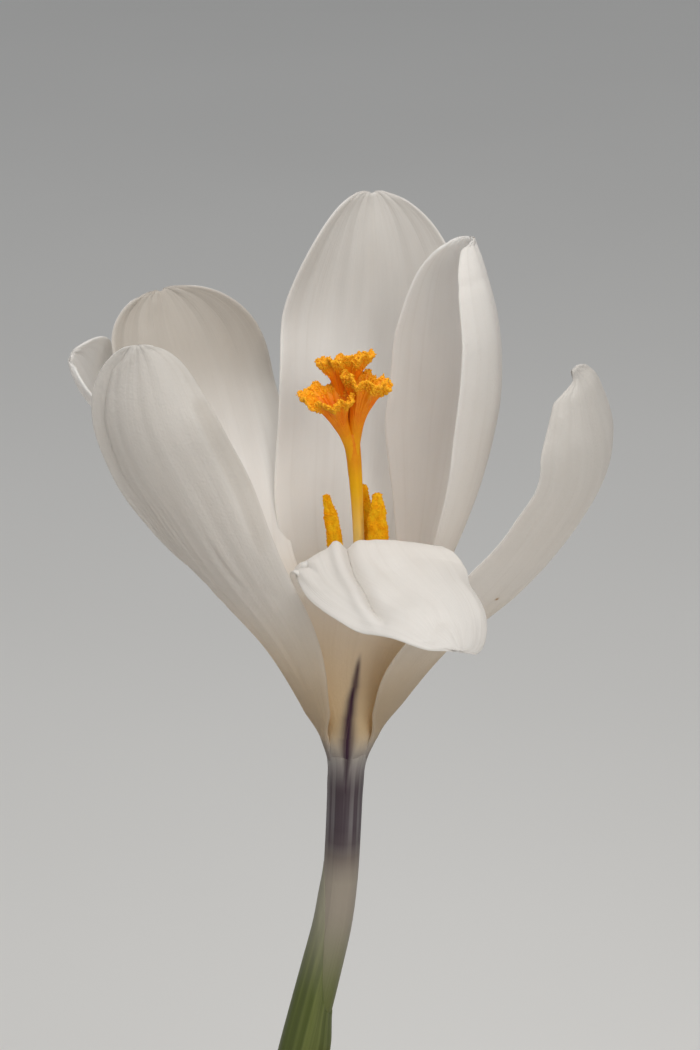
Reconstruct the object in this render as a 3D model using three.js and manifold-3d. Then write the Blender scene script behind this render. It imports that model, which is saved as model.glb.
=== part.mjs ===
// A potted crocus in millimetres, Z up, the origin at the centre of the pot's foot.
import * as THREE from "three";
import Module from "manifold-3d";

const POT_HEIGHT = 75;
const POT_RIM_R = 42;
const POT_FOOT_R = 29;
const POT_BAND = 17; // height of the rim band
const POT_STEP = 2.6; // how far the band stands out from the body
const POT_WALL = 4.2;
const POT_FLOOR = 5.5;
const DRAIN_R = 6;
const CLEAR = 0.3; // gap between neighbouring pieces
const SOIL_LEVEL = 67;
const SOIL_BUMP = 0.8;
const SOIL_RINGS = 11;
const SOIL_SECTORS = 48;
const CLOD_HEIGHT = 1.5;
const CLOD_R = 2.6;
const CORM_R = 12;
const CORM_TOP = SOIL_LEVEL - 11;
const CORM_HEIGHT = 18;
const THROAT_Z = 130; // where the tepals leave the tube
const THROAT_X = 7;
const TUBE_R = 1.45;
const TUBE_RIM_R = 2.4;
const BRACT_R = 2.4;
const BRACT_WALL = 0.6;
const BRACT_TIP = THROAT_Z - 12.5;
const BRACT_SPLIT = THROAT_Z - 27;
const SHEATH_R = 5.1;
const SHEATH_TOP = SOIL_LEVEL + 9;
const BLADE = 0.6; // thickness of a tepal
const LEAF_BLADE = 0.7;
const STYLE_R = 0.5;
const BRANCH_WALL = 0.6;
const SIMPLIFY = 0.02; // least detail kept where the branches join the style
const TEPAL_ROWS = 18;
const TEPAL_COLUMNS = 8;

// Each tepal: azimuth of its plane, midrib points as radius, sideways, height above the throat,
// half widths at the claw and at the widest point, where that point is along the midrib, how the
// outline fills out, and the angles at claw, third, two thirds and tip for both margins and the twist.
const TEPALS = {
  back: {
    azimuth: 88,
    midrib: [
      [2.4, 0, -0.3], [6.5, -0.3, 8.4], [9.6, -0.8, 16.5],
      [12.4, -1.2, 26.4], [15.7, -1.7, 36.3], [18.3, -1.4, 44.5],
    ],
    claw: 1.5, widest: 8.76, peak: 0.75, fill: 0.5, blunt: 1.6,
    bendStops: [0, 0.35, 0.7, 1],
    left: [-5, -3, 27, 54],
    right: [18, 25, 36, 39],
    stops: [0, 0.4, 0.75, 1],
    twist: [0, -18, -9, -8],
    wave: 0.15, phase: 0.1,
  },
  right_back: {
    azimuth: 28,
    midrib: [
      [1.4, 0, 0.3], [5.4, -1.1, 8.1], [8.6, -2.1, 16.8],
      [11.2, -3, 26.2], [11.9, -2.9, 36], [10.8, -1.5, 44.4],
    ],
    claw: 0.85, widest: 9.44, peak: 0.63, fill: 1.34, blunt: 3.06,
    bendStops: [0, 0.35, 0.7, 1],
    left: [52, 67, 79, 93],
    right: [52, 86, 109, 106],
    stops: [0, 0.4, 0.75, 1],
    twist: [0, 0, -8, -8],
    wave: 0.15, phase: 0.4,
  },
  right_front: {
    azimuth: 334,
    midrib: [
      [2.4, 0, -0.3], [7.8, 0.7, 7.8], [14.4, 3, 14.4],
      [19.6, 3.6, 21.6], [22.2, 2.4, 28.7], [21.2, 0.5, 36.5],
    ],
    claw: 1.5, widest: 7.64, peak: 0.56, fill: 0.4, blunt: 1.81,
    bendStops: [0, 0.35, 0.7, 1],
    left: [30, 39, 45, 41],
    right: [48, 47, 46, 54],
    stops: [0, 0.4, 0.75, 1],
    twist: [0, 7, 6, 17],
    wave: 0.15, phase: 0.3,
  },
  front: {
    azimuth: 280,
    midrib: [
      [1.4, 0, 0.3], [2.2, 0.2, 7.7], [3.9, 1.1, 14.1], [6.3, 0.5, 20],
      [10.8, 0.8, 19.7], [18.6, 3.4, 18.7], [25.2, 4.5, 17.1],
    ],
    claw: 1, widest: 6.98, peak: 0.51, fill: 0.4, blunt: 2.41,
    bendStops: [0, 0.3, 0.42, 0.54, 0.75, 1],
    left: [8, 5, -10, -15, -41, -34],
    right: [20, 10, -18, -50, -27, -32],
    stops: [0, 0.4, 0.75, 1],
    twist: [0, 7, -6, 17],
    wave: 0.2, phase: 0.5,
  },
  left_front: {
    azimuth: 200,
    midrib: [
      [2.2, 1.2, -0.3], [6.6, 3.1, 8.9], [11.6, 4, 16.4],
      [15.3, 2.6, 23.2], [18.4, 1.2, 30.5], [18.8, -0.3, 37.7],
    ],
    claw: 1.5, widest: 6.43, peak: 0.71, fill: 0.78, blunt: 2.51,
    bendStops: [0, 0.35, 0.7, 1],
    left: [37, 42, 45, 57],
    right: [20, 28, 41, 39],
    stops: [0, 0.4, 0.75, 1],
    twist: [-28, -30, -49, -55],
    wave: 0.15, phase: 0.9,
  },
  left: {
    azimuth: 176,
    midrib: [
      [1.4, 0.8, 0.3], [6.7, 0.4, 8.6], [13, 0.3, 15.4],
      [18.8, -1.5, 22], [21.9, -2.6, 28.5], [24.3, -2.1, 33.7],
    ],
    claw: 0.5, widest: 8.57, peak: 0.76, fill: 1.6, blunt: 3.32,
    bendStops: [0, 0.35, 0.7, 1],
    left: [22, 38, 36, 38],
    right: [34, 8, 17, 38],
    stops: [0, 0.4, 0.75, 1],
    twist: [0, -14, -23, 5],
    wave: 0.15, phase: 0.2,
  },
  left_back: {
    azimuth: 140,
    midrib: [
      [1.4, -0.2, 0.3], [4.7, 1, 8.7], [9.1, 3.3, 15.3],
      [13.3, 2.4, 22.2], [17.6, 1.2, 29.2], [21.9, 0, 36.6],
    ],
    claw: 0.5, widest: 8.81, peak: 0.68, fill: 1.35, blunt: 2.77,
    bendStops: [0, 0.35, 0.7, 1],
    left: [17, 38, 35, 41],
    right: [32, 8, 8, 39],
    stops: [0, 0.4, 0.75, 1],
    twist: [15, -6, 7, 31],
    wave: 0.2, phase: 0.7,
  },
};

// Centre line of the shoot as height and sideways place.
const SHOOT = [
  [56.3, 0], [66, 0], [76, 0], [82, 0.15], [88, 0.75], [94, 1.9], [100.8, 3.45], [107.1, 4.85],
  [111.3, 5.7], [115.5, 6.2], [119.6, 6.45], [125.8, 6.72], [THROAT_Z, THROAT_X],
];

// Leaves: azimuth, how far they reach out, their height over the soil, sideways lean and twist.
const LEAF_R = 3.35;
const LEAVES = {
  right: { azimuth: 22, out: 29, rise: 22, lean: 4, turn: 12 },
  back: { azimuth: 112, out: 25, rise: 19, lean: -5, turn: -18 },
  left: { azimuth: 196, out: 30, rise: 29, lean: 3, turn: 15 },
  front: { azimuth: 286, out: 24, rise: 31, lean: -4, turn: -10 },
};

// Stamens: paths from the throat wall to the anther tip, half width and the angle the flat side faces.
const STAMENS = {
  left: {
    path: [[-2, -0.8, 4.6], [-1.5, -0.9, 8.4], [-1.2, -1, 13.4], [-1.24, -1, 18.4], [-2, -1, 22.6]],
    width: 0.66, faces: 0,
  },
  right: {
    path: [[1.5, -0.5, 4.6], [2.2, -0.9, 8.6], [2.5, -1.1, 13.6], [2.5, -1.1, 18.4], [2.42, -1.1, 22.8]],
    width: 0.92, faces: 0,
  },
  back: {
    path: [[0.6, 2.2, 4.2], [0.9, 1.9, 8], [1.3, 1.8, 13], [1.35, 1.8, 18], [1.3, 1.7, 22.6]],
    width: 0.7, faces: 0,
  },
};

// Style: its path above the throat, and the branches with rim radius, how late they flare, slant of
// the rim toward the angle low, and frill phase.
const STYLE_PATH = [
  [-0.3, 0, -5.5], [-0.06, 0, -1], [0.2, 0, 4], [0.75, 0, 10], [0.88, 0, 16], [0.65, 0, 22], [0.2, 0, 28],
];
const BRANCHES = [
  { path: [[0.4, 0, 25], [0.1, 0.3, 28.5], [-0.3, 0.9, 32], [-0.3, 1.6, 34.8]],
    radius: 2.35, flare: 3.6, slant: 0.07, low: 3.1, phase: 0.4 },
  { path: [[0.4, 0, 24.5], [0.5, -0.1, 27.5], [0.9, -0.2, 30.2], [1.55, -0.4, 32.8]],
    radius: 2.05, flare: 2.8, slant: 0.04, low: 1.5, phase: 2 },
  { path: [[0.4, 0, 24], [-0.1, -0.2, 26.8], [-1.2, -0.7, 29.2], [-1.8, -1.1, 31.6]],
    radius: 2.2, flare: 2.6, slant: 0.09, low: 0, phase: 4.1 },
];

const at = (x, y, z) => new THREE.Vector3(x, y, z);
const rad = (d) => (d * Math.PI) / 180;
const clamp = (x) => Math.min(1, Math.max(0, x));
const ease = (x) => clamp(x) ** 2 * (3 - 2 * clamp(x));

// Value at u between evenly eased keys placed at the given stops.
function keyed(stops, values, u) {
  let i = 0;
  while (i < stops.length - 2 && u >= stops[i + 1]) i += 1;
  return values[i] + (values[i + 1] - values[i]) * ease((u - stops[i]) / (stops[i + 1] - stops[i]));
}

// Uniform Catmull-Rom curve through the points.
function curve(points) {
  const first = points[0].clone().multiplyScalar(2).sub(points[1]);
  const last = points.at(-1).clone().multiplyScalar(2).sub(points.at(-2));
  const p = [first, ...points, last];
  return (u) => {
    const x = Math.min(clamp(u) * (points.length - 1), points.length - 1 - 1e-9);
    const i = Math.floor(x);
    const t = x - i;
    const w = [
      -t + 2 * t * t - t ** 3,
      2 - 5 * t * t + 3 * t ** 3,
      t + 4 * t * t - 3 * t ** 3,
      t ** 3 - t * t,
    ];
    return w.reduce((sum, k, j) => sum.addScaledVector(p[i + j], k / 2), at(0, 0, 0));
  };
}

// Closed mesh from points and triangles.
function solid(points, faces) {
  const g = new THREE.BufferGeometry();
  g.setAttribute("position", new THREE.Float32BufferAttribute(points.flatMap((p) => p.toArray()), 3));
  g.setIndex(faces.flat());
  return g;
}

// A sheet of even thickness on the grid, both faces split along the same diagonals.
function blade(grid, thickness) {
  const rows = grid.length;
  const cols = grid[0].length;
  const normal = (i, j) => {
    const du = grid[Math.min(i + 1, rows - 1)][j].clone().sub(grid[Math.max(i - 1, 0)][j]);
    const dv = grid[i][Math.min(j + 1, cols - 1)].clone().sub(grid[i][Math.max(j - 1, 0)]);
    return dv.cross(du).normalize();
  };
  const points = [];
  for (const side of [1, -1])
    for (let i = 0; i < rows; i += 1)
      for (let j = 0; j < cols; j += 1)
        points.push(grid[i][j].clone().addScaledVector(normal(i, j), (side * thickness) / 2));
  const half = rows * cols;
  const id = (i, j) => i * cols + j;
  const faces = [];
  const split = (a, b, c, d) => {
    faces.push([a, b, c], [a, c, d], [c + half, b + half, a + half], [d + half, c + half, a + half]);
  };
  for (let i = 0; i < rows - 1; i += 1)
    for (let j = 0; j < cols - 1; j += 1) {
      const [a, b, c, d] = [id(i, j), id(i, j + 1), id(i + 1, j + 1), id(i + 1, j)];
      if (points[a].distanceTo(points[c]) <= points[b].distanceTo(points[d])) split(a, b, c, d);
      else split(b, c, d, a);
    }
  const wall = (a, b) => faces.push([b, a, a + half], [b, a + half, b + half]);
  for (let j = 0; j < cols - 1; j += 1) {
    wall(id(0, j), id(0, j + 1));
    wall(id(rows - 1, j + 1), id(rows - 1, j));
  }
  for (let i = 0; i < rows - 1; i += 1) {
    wall(id(i + 1, 0), id(i, 0));
    wall(id(i, cols - 1), id(i + 1, cols - 1));
  }
  return solid(points, faces);
}

// A body of round sections along a path: each station gives its place on the path and its radius at an
// angle. A station of radius 0 is a pole; without poles the stations close into a ring.
function turned(path, stations, n) {
  const frame = (s) => {
    const tangent = path(s + 0.01).sub(path(s - 0.01)).normalize();
    const side = at(0, 1, 0).addScaledVector(tangent, -tangent.y).normalize();
    return [path(s), side.clone().cross(tangent), side];
  };
  const points = [];
  const rings = stations.map((station) => {
    if (station(0)[1] === 0) {
      points.push(frame(station(0)[0])[0]);
      return [points.length - 1];
    }
    return Array.from({ length: n }, (_, k) => {
      const a = (2 * Math.PI * k) / n;
      const [s, r] = station(a);
      const [c, e1, e2] = frame(s);
      points.push(c.addScaledVector(e1, r * Math.cos(a)).addScaledVector(e2, r * Math.sin(a)));
      return points.length - 1;
    });
  });
  const faces = [];
  const join = (p, q) => {
    for (let k = 0; k < n; k += 1) {
      const l = (k + 1) % n;
      if (p.length === 1) faces.push([p[0], q[l], q[k]]);
      else if (q.length === 1) faces.push([p[k], p[l], q[0]]);
      else faces.push([p[k], p[l], q[l]], [p[k], q[l], q[k]]);
    }
  };
  for (let i = 0; i < rings.length - 1; i += 1) join(rings[i], rings[i + 1]);
  if (rings[0].length > 1) join(rings.at(-1), rings[0]);
  return solid(points, faces);
}

const even = (s, r) => () => [s, r];
const upright = (z) => at(0, 0, z);

const group = new THREE.Group();
function add(name, geometry, color, roughness) {
  const mesh = new THREE.Mesh(geometry, new THREE.MeshStandardMaterial({ color, roughness }));
  mesh.name = name;
  group.add(mesh);
}

// Pot: foot, tapered body, rim band, inner wall and drain hole.
const bodyR = (z) => POT_FOOT_R + ((POT_RIM_R - POT_STEP - POT_FOOT_R) * z) / (POT_HEIGHT - POT_BAND);
const innerR = (z) =>
  POT_FOOT_R - POT_WALL + ((POT_RIM_R - POT_FOOT_R) * (z - POT_FLOOR)) / (POT_HEIGHT - POT_FLOOR);
const bandLow = POT_HEIGHT - POT_BAND;
add(
  "pot",
  turned(
    upright,
    [
      even(0, DRAIN_R),
      even(0, POT_FOOT_R - 1),
      even(0.4, POT_FOOT_R - 0.2),
      even(1.4, bodyR(1.4)),
      even(bandLow / 2, bodyR(bandLow / 2)),
      even(bandLow, bodyR(bandLow)),
      even(bandLow, POT_RIM_R - 1),
      even(bandLow + 1, POT_RIM_R - 0.3),
      even(POT_HEIGHT - 1.4, POT_RIM_R),
      even(POT_HEIGHT - 0.3, POT_RIM_R - 0.5),
      even(POT_HEIGHT, POT_RIM_R - 1.6),
      even(POT_HEIGHT, innerR(POT_HEIGHT) + 1),
      even(POT_HEIGHT - 0.7, innerR(POT_HEIGHT)),
      even(POT_FLOOR + 3, innerR(POT_FLOOR + 3)),
      even(POT_FLOOR, innerR(POT_FLOOR) - 2),
      even(POT_FLOOR, DRAIN_R),
    ],
    56,
  ),
  "#b5623f",
  0.85,
);

// Soil: fills the pot, with a bumpy, cloddy top, a plain hole for the shoot and room for the corm.
const bump = (r, a) =>
  SOIL_BUMP * (Math.sin(0.55 * r + 3 * a) * Math.cos(0.4 * r - 5 * a + 1) + 0.4 * Math.sin(7 * a + r));
const holeR = SHEATH_R + CLEAR;
const cormSpace = CORM_R + CLEAR;
const soilR = innerR(SOIL_LEVEL) - CLEAR;
const ringR = (i) => soilR * (0.99 - (0.76 * i) / SOIL_RINGS);
const clods = [[2, 17], [5, 13], [8, 8]].flatMap(([ring, count], band) =>
  Array.from({ length: count }, (_, k) => {
    const sector = Math.round(((k + 0.3 * Math.sin(3 * k + band)) * SOIL_SECTORS) / count);
    const a = (2 * Math.PI * sector) / SOIL_SECTORS;
    const r = ringR(ring - 1 + ((5 * k + band) % 3));
    const h = CLOD_HEIGHT * (0.85 + 0.3 * Math.sin(5 * k + 2 * band));
    return { x: r * Math.cos(a), y: r * Math.sin(a), h };
  }),
);
const soilTop = Array.from({ length: SOIL_RINGS }, (_, i) => (a) => {
  const r = ringR(i);
  const [x, y] = [r * Math.cos(a), r * Math.sin(a)];
  const near = (c) => Math.exp(-((x - c.x) ** 2 + (y - c.y) ** 2) / CLOD_R ** 2);
  const clod = clods.reduce((z, c) => z + c.h * near(c), 0);
  return [SOIL_LEVEL + bump(r, a) + clod, r];
});
add(
  "soil",
  turned(
    upright,
    [
      even(POT_FLOOR + CLEAR, 0),
      even(POT_FLOOR + CLEAR, innerR(POT_FLOOR) - 2.6),
      even(POT_FLOOR + 3 + CLEAR, innerR(POT_FLOOR + 3) - CLEAR),
      even(SOIL_LEVEL - 2, innerR(SOIL_LEVEL - 2) - CLEAR),
      ...soilTop,
      even(SOIL_LEVEL + 0.3, holeR + 1),
      even(SOIL_LEVEL - 0.5, holeR),
      even(CORM_TOP + 2.6, holeR),
      even(CORM_TOP - 2, cormSpace * 0.72),
      even(CORM_TOP - 6, cormSpace * 0.97),
      even(CORM_TOP - 10, cormSpace),
      even(CORM_TOP - CORM_HEIGHT + 2, cormSpace * 0.8),
      even(CORM_TOP - CORM_HEIGHT - CLEAR, cormSpace * 0.5),
      even(CORM_TOP - CORM_HEIGHT - CLEAR, 0),
    ],
    SOIL_SECTORS,
  ),
  "#3a2a1e",
  1,
);

add(
  "corm",
  turned(
    upright,
    [
      even(CORM_TOP - CORM_HEIGHT, 0),
      even(CORM_TOP - CORM_HEIGHT, CORM_R * 0.45),
      even(CORM_TOP - CORM_HEIGHT + 2.2, CORM_R * 0.76),
      even(CORM_TOP - 10, CORM_R * 0.97),
      even(CORM_TOP - 6.4, CORM_R * 0.9),
      even(CORM_TOP - 2.8, CORM_R * 0.6),
      even(CORM_TOP - 0.8, CORM_R * 0.3),
      even(CORM_TOP, 0),
    ],
    20,
  ),
  "#8a5c34",
  0.9,
);

// Shoot: upright in the soil, then it leans over to the throat.
const shootBase = SHOOT[0][0];
const shoot = (z) => {
  let i = 0;
  while (i < SHOOT.length - 2 && z > SHOOT[i + 1][0]) i += 1;
  const slope = (j) => {
    const [l, h] = [SHOOT[Math.max(j - 1, 0)], SHOOT[Math.min(j + 1, SHOOT.length - 1)]];
    return (h[1] - l[1]) / (h[0] - l[0]);
  };
  const w = SHOOT[i + 1][0] - SHOOT[i][0];
  const s = clamp((z - SHOOT[i][0]) / w);
  const x =
    SHOOT[i][1] * (1 + 2 * s) * (1 - s) ** 2 +
    w * slope(i) * s * (1 - s) ** 2 +
    SHOOT[i + 1][1] * s * s * (3 - 2 * s) +
    w * slope(i + 1) * s * s * (s - 1);
  return at(x, 0, z);
};
const tubeTop = THROAT_Z - 0.8;
add(
  "perianth_tube",
  turned(
    shoot,
    [
      even(shootBase, 0),
      ...[0, 14, 24, 30, 36, 42, 47, 52, 56, 60, 64].map((d) => even(shootBase + d, TUBE_R)),
      even(tubeTop - 5, TUBE_R + 0.02),
      even(tubeTop - 2.6, TUBE_R + 0.2),
      even(tubeTop - 1, TUBE_R + 0.5),
      even(tubeTop, TUBE_RIM_R),
      even(tubeTop, STYLE_R + 0.75),
      even(tubeTop - 2, STYLE_R + 0.4),
      even(tubeTop - 6, STYLE_R + 0.4),
      even(tubeTop - 6, 0),
    ],
    14,
  ),
  "#cfc4cc",
  0.5,
);

// Bract: a green sheath round the tube whose mouth runs from a low split to a tip on the left.
const mouth = (a) => BRACT_SPLIT + (BRACT_TIP - BRACT_SPLIT) * ((1 - Math.cos(a)) / 2) ** 2.2;
const bractAt = (share, r) => (a) => [shootBase + 3 + (mouth(a) - shootBase - 3) * share, r];
const bractWalls = [0, 0.2, 0.35, 0.48, 0.6, 0.7, 0.8, 0.88, 0.95];
add(
  "bract",
  turned(
    shoot,
    [
      ...bractWalls.map((share) => bractAt(share, BRACT_R)),
      bractAt(1, BRACT_R - 0.1),
      bractAt(0.999, BRACT_R - BRACT_WALL),
      ...bractWalls.toReversed().map((share) => bractAt(share, BRACT_R - BRACT_WALL)),
    ],
    16,
  ),
  "#6f8a3c",
  0.6,
);

// Sheath: papery tube round the base of the shoot and the leaves, its top torn aslant.
const torn = (a) => SHEATH_TOP + 2.2 * Math.cos(a - 2.4) + 0.6 * Math.sin(5 * a);
const sheathAt = (share, r) => (a) => [
  CORM_TOP + 3.2 + (torn(a) - CORM_TOP - 3.2) * share,
  typeof r === "number" ? r : r(a),
];
add(
  "sheath",
  turned(
    upright,
    [
      ...[0, 0.4, 0.75, 0.99].map((share) => sheathAt(share, SHEATH_R)),
      sheathAt(1, SHEATH_R - 0.15),
      sheathAt(0.995, SHEATH_R - 0.6),
      ...[0.75, 0.4, 0].map((share) => sheathAt(share, SHEATH_R - 0.6)),
    ],
    24,
  ),
  "#d9cdb0",
  0.7,
);

// Grid of a curled sheet about a midrib. The angles bend both margins toward the inner side.
function sheet(shape, place) {
  const { azimuth, midrib, claw, widest, peak, blunt, fill, wave, phase } = shape;
  const path = curve(midrib.map((p) => at(...p)));
  const turn = new THREE.Matrix4().makeRotationZ(rad(azimuth));
  const fine = Array.from({ length: 401 }, (_, k) => path(k / 400));
  const run = [0];
  for (let k = 1; k < fine.length; k += 1) run.push(run[k - 1] + fine[k].distanceTo(fine[k - 1]));
  const grid = [];
  for (let i = 0; i <= shape.rows; i += 1) {
    const u = 1 - (1 - i / shape.rows) ** 1.15;
    let k = 1;
    while (k < 400 && run[k] < u * run[400]) k += 1;
    const s = (k - 1 + (u * run[400] - run[k - 1]) / (run[k] - run[k - 1])) / 400;
    const tangent = path(s + 0.001).sub(path(s - 0.001)).normalize();
    const across = at(0, 1, 0).addScaledVector(tangent, -tangent.y).normalize();
    const out = across.clone().cross(tangent);
    const twist = rad(keyed(shape.stops, shape.twist, u));
    const b = across.clone().multiplyScalar(Math.cos(twist)).addScaledVector(out, Math.sin(twist));
    const n = out.clone().multiplyScalar(Math.cos(twist)).addScaledVector(across, -Math.sin(twist));
    const low = ease(u / peak) ** fill;
    const high = Math.sqrt(clamp(1 - clamp((u - peak) / (1 - peak)) ** blunt));
    const half = Math.max(u < peak ? claw + (widest - claw) * low : widest * high, 0.25);
    const flat = ease(half / (0.35 * widest) + (u < peak ? 1 : 0));
    const row = [];
    const h = shape.columns / 2;
    for (const side of [-1, 1]) {
      const bend = rad(keyed(shape.bendStops, side > 0 ? shape.left : shape.right, u)) * flat;
      let [x, y] = [0, 0];
      const arm = [];
      for (let j = 1; j <= h; j += 1) {
        const angle = (bend * (2 * j - 1)) / (2 * h);
        x += (half / h) * Math.cos(angle);
        y += (half / h) * Math.sin(angle);
        const ripple =
          wave * (j / h) ** 3 * Math.sin(2 * Math.PI * (3 * u + phase + (side * j) / h / 4)) *
          Math.sin(Math.PI * u);
        arm.push(path(s).addScaledVector(b, side * x).addScaledVector(n, -y - ripple));
      }
      if (side < 0) row.push(...arm.toReversed(), path(s));
      else row.push(...arm);
    }
    grid.push(row.map((p) => p.applyMatrix4(turn).add(place)));
  }
  return grid;
}

const throat = at(THROAT_X, 0, THROAT_Z);
for (const [name, shape] of Object.entries(TEPALS))
  add(
    "tepal_" + name,
    blade(sheet({ ...shape, rows: TEPAL_ROWS, columns: TEPAL_COLUMNS }, throat), BLADE),
    "#efedea",
    0.45,
  );

// Leaves: narrow blades out of the sheath that arch away from the shoot.
for (const [name, leaf] of Object.entries(LEAVES)) {
  const { azimuth, out, rise, lean } = leaf;
  const midrib = [
    [LEAF_R, 0, -6],
    [LEAF_R, 0, 1],
    [LEAF_R, 0, 7],
    [LEAF_R + 0.5, 0, 13],
    [LEAF_R + out * 0.25, lean * 0.25, rise * 0.78],
    [LEAF_R + out * 0.62, lean * 0.6, rise],
    [LEAF_R + out, lean, rise * 0.86],
  ];
  add(
    "leaf_" + name,
    blade(
      sheet(
        {
          azimuth,
          midrib,
          claw: 1.5,
          widest: 2.3,
          peak: 0.55,
          fill: 1,
          blunt: 1.5,
          bendStops: [0, 0.3, 0.6, 1],
          left: [26, 26, 16, 12],
          right: [26, 26, 16, 12],
          stops: [0, 1],
          twist: [0, leaf.turn],
          wave: 0,
          phase: 0,
          rows: 14,
          columns: 4,
        },
        at(0, 0, SOIL_LEVEL),
      ),
      LEAF_BLADE,
    ),
    "#55783a",
    0.5,
  );
}

// Stamens: a filament on the throat wall that carries a long anther with a groove down its back.
for (const [name, stamen] of Object.entries(STAMENS)) {
  const path = curve(stamen.path.map((p) => at(...p).add(throat)));
  const anther = (t) => stamen.width * Math.sin(Math.PI * clamp(0.05 + 0.92 * t)) ** 0.45;
  const lobes = (a) => {
    const flat = Math.hypot(Math.cos(a - rad(stamen.faces)), 1.75 * Math.sin(a - rad(stamen.faces)));
    return (1 - 0.16 * Math.abs(Math.sin(a - rad(stamen.faces))) ** 6) / flat;
  };
  const along = (t) => 0.42 + 0.58 * t;
  add(
    "stamen_" + name,
    turned(
      path,
      [
        even(0, 0),
        even(0, 0.32),
        even(0.2, 0.32),
        even(along(-0.03), 0.34),
        ...[0.03, 0.14, 0.32, 0.5, 0.68, 0.84, 0.95].map((t) => (a) => [along(t), anther(t) * lobes(a)]),
        even(1, 0),
      ],
      12,
    ),
    "#e8a21a",
    0.8,
  );
}

// Style with its three frilled branches, grown together.
const { Manifold, Mesh } = await Module().then((wasm) => {
  wasm.setup();
  return wasm;
});
const body = (g) =>
  new Manifold(
    new Mesh({
      numProp: 3,
      vertProperties: g.getAttribute("position").array,
      triVerts: new Uint32Array(g.index.array),
    }),
  );
const stylePath = curve(STYLE_PATH.map((p) => at(...p).add(throat)));
let stigma = body(
  turned(
    stylePath,
    [
      even(0, 0),
      ...[0, 0.15, 0.3, 0.5].map((t) => even(t, STYLE_R)),
      even(0.66, STYLE_R + 0.05),
      even(0.8, STYLE_R + 0.14),
      even(0.92, STYLE_R + 0.28),
      even(1, STYLE_R + 0.2),
      even(1, 0),
    ],
    14,
  ),
);
for (const branch of BRANCHES) {
  const points = branch.path.map((p) => at(...p).add(throat));
  const path = curve([...points, points.at(-1).clone().multiplyScalar(2).sub(points.at(-2))]);
  const reach = (points.length - 1) / points.length;
  const frill = (a) => 1 + 0.07 * Math.cos(7 * a + branch.phase) + 0.04 * Math.cos(12 * a - branch.phase);
  const lip = (a) => 0.03 * Math.sin(8 * a + branch.phase) - branch.slant * Math.cos(a - branch.low);
  const funnel = (t, wall) => (a) => [
    (t + lip(a) * t ** 3) * reach,
    Math.max(
      (0.52 + (branch.radius - 0.52) * t ** branch.flare) * (1 + (frill(a) - 1) * t ** 4) - wall,
      0.05,
    ),
  ];
  stigma = stigma.add(
    body(
      turned(
        path,
        [
          even(0, 0),
          ...[0.02, 0.3, 0.55, 0.75, 0.9, 1].map((t) => funnel(t, 0)),
          funnel(1.01, BRANCH_WALL * 0.8),
          funnel(0.9, BRANCH_WALL),
          funnel(0.72, BRANCH_WALL),
          even(0.62 * reach, 0),
        ],
        28,
      ),
    ),
  );
}
const joined = stigma.asOriginal().simplify(SIMPLIFY).getMesh();
const stigmaPoints = Array.from({ length: joined.numVert }, (_, k) =>
  at(...joined.vertProperties.slice(k * joined.numProp, k * joined.numProp + 3)),
);
const stigmaFaces = Array.from({ length: joined.numTri }, (_, k) => [
  ...joined.triVerts.slice(3 * k, 3 * k + 3),
]);
add("style_stigma", solid(stigmaPoints, stigmaFaces), "#f08a14", 0.7);

export default group;
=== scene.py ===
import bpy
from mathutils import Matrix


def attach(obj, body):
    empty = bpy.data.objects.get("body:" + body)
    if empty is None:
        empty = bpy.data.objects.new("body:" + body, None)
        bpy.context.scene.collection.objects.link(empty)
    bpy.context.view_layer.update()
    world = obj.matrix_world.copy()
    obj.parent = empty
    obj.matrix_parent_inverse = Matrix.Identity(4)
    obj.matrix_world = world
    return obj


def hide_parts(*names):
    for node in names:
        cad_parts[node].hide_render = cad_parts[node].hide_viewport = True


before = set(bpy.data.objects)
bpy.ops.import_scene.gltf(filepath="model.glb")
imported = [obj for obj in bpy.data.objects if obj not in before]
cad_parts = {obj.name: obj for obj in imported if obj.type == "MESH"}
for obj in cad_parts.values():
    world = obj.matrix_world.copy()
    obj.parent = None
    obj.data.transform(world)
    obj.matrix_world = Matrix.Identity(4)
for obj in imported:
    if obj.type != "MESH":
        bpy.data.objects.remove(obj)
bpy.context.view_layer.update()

import math

import bpy
import numpy as np
from mathutils import Vector

# Lengths below are in millimetres until a mesh is made.
MM = 0.001
TAU = 2 * math.pi
# Where the tepals stand on the tube.
THROAT = np.array([7.0, 0.0, 130.0])

# ---- shapes


def ease(x):
    """Smooth step from 0 to 1."""
    x = np.clip(x, 0, 1)
    return x * x * (3 - 2 * x)


def ramp(x, low, high):
    """Smooth step from 0 at low to 1 at high."""
    return ease((np.asarray(x, float) - low) / (high - low))


def keyed(stops, values, u):
    """Values at u, eased from stop to stop."""
    stops, values = np.array(stops, float), np.array(values, float)
    i = np.clip(np.searchsorted(stops, u, side="right") - 1, 0, len(stops) - 2)
    t = ease((u - stops[i]) / (stops[i + 1] - stops[i]))
    return values[i] + (values[i + 1] - values[i]) * t


def curve(points):
    """Uniform Catmull-Rom curve through the points."""
    p = np.array(points, float)
    p = np.vstack([2 * p[0] - p[1], p, 2 * p[-1] - p[-2]])
    n = len(p) - 3

    def at(u):
        x = np.clip(np.asarray(u, float), 0, 1) * n
        i = np.minimum(x.astype(int), n - 1)
        t = (x - i)[..., None]
        a, b, c, d = p[i], p[i + 1], p[i + 2], p[i + 3]
        return 0.5 * (2 * b + (c - a) * t + (2 * a - 5 * b + 4 * c - d) * t**2 + (3 * b - a - 3 * c + d) * t**3)

    return at


def unit(v):
    return v / np.maximum(np.linalg.norm(v, axis=-1, keepdims=True), 1e-9)


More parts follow.
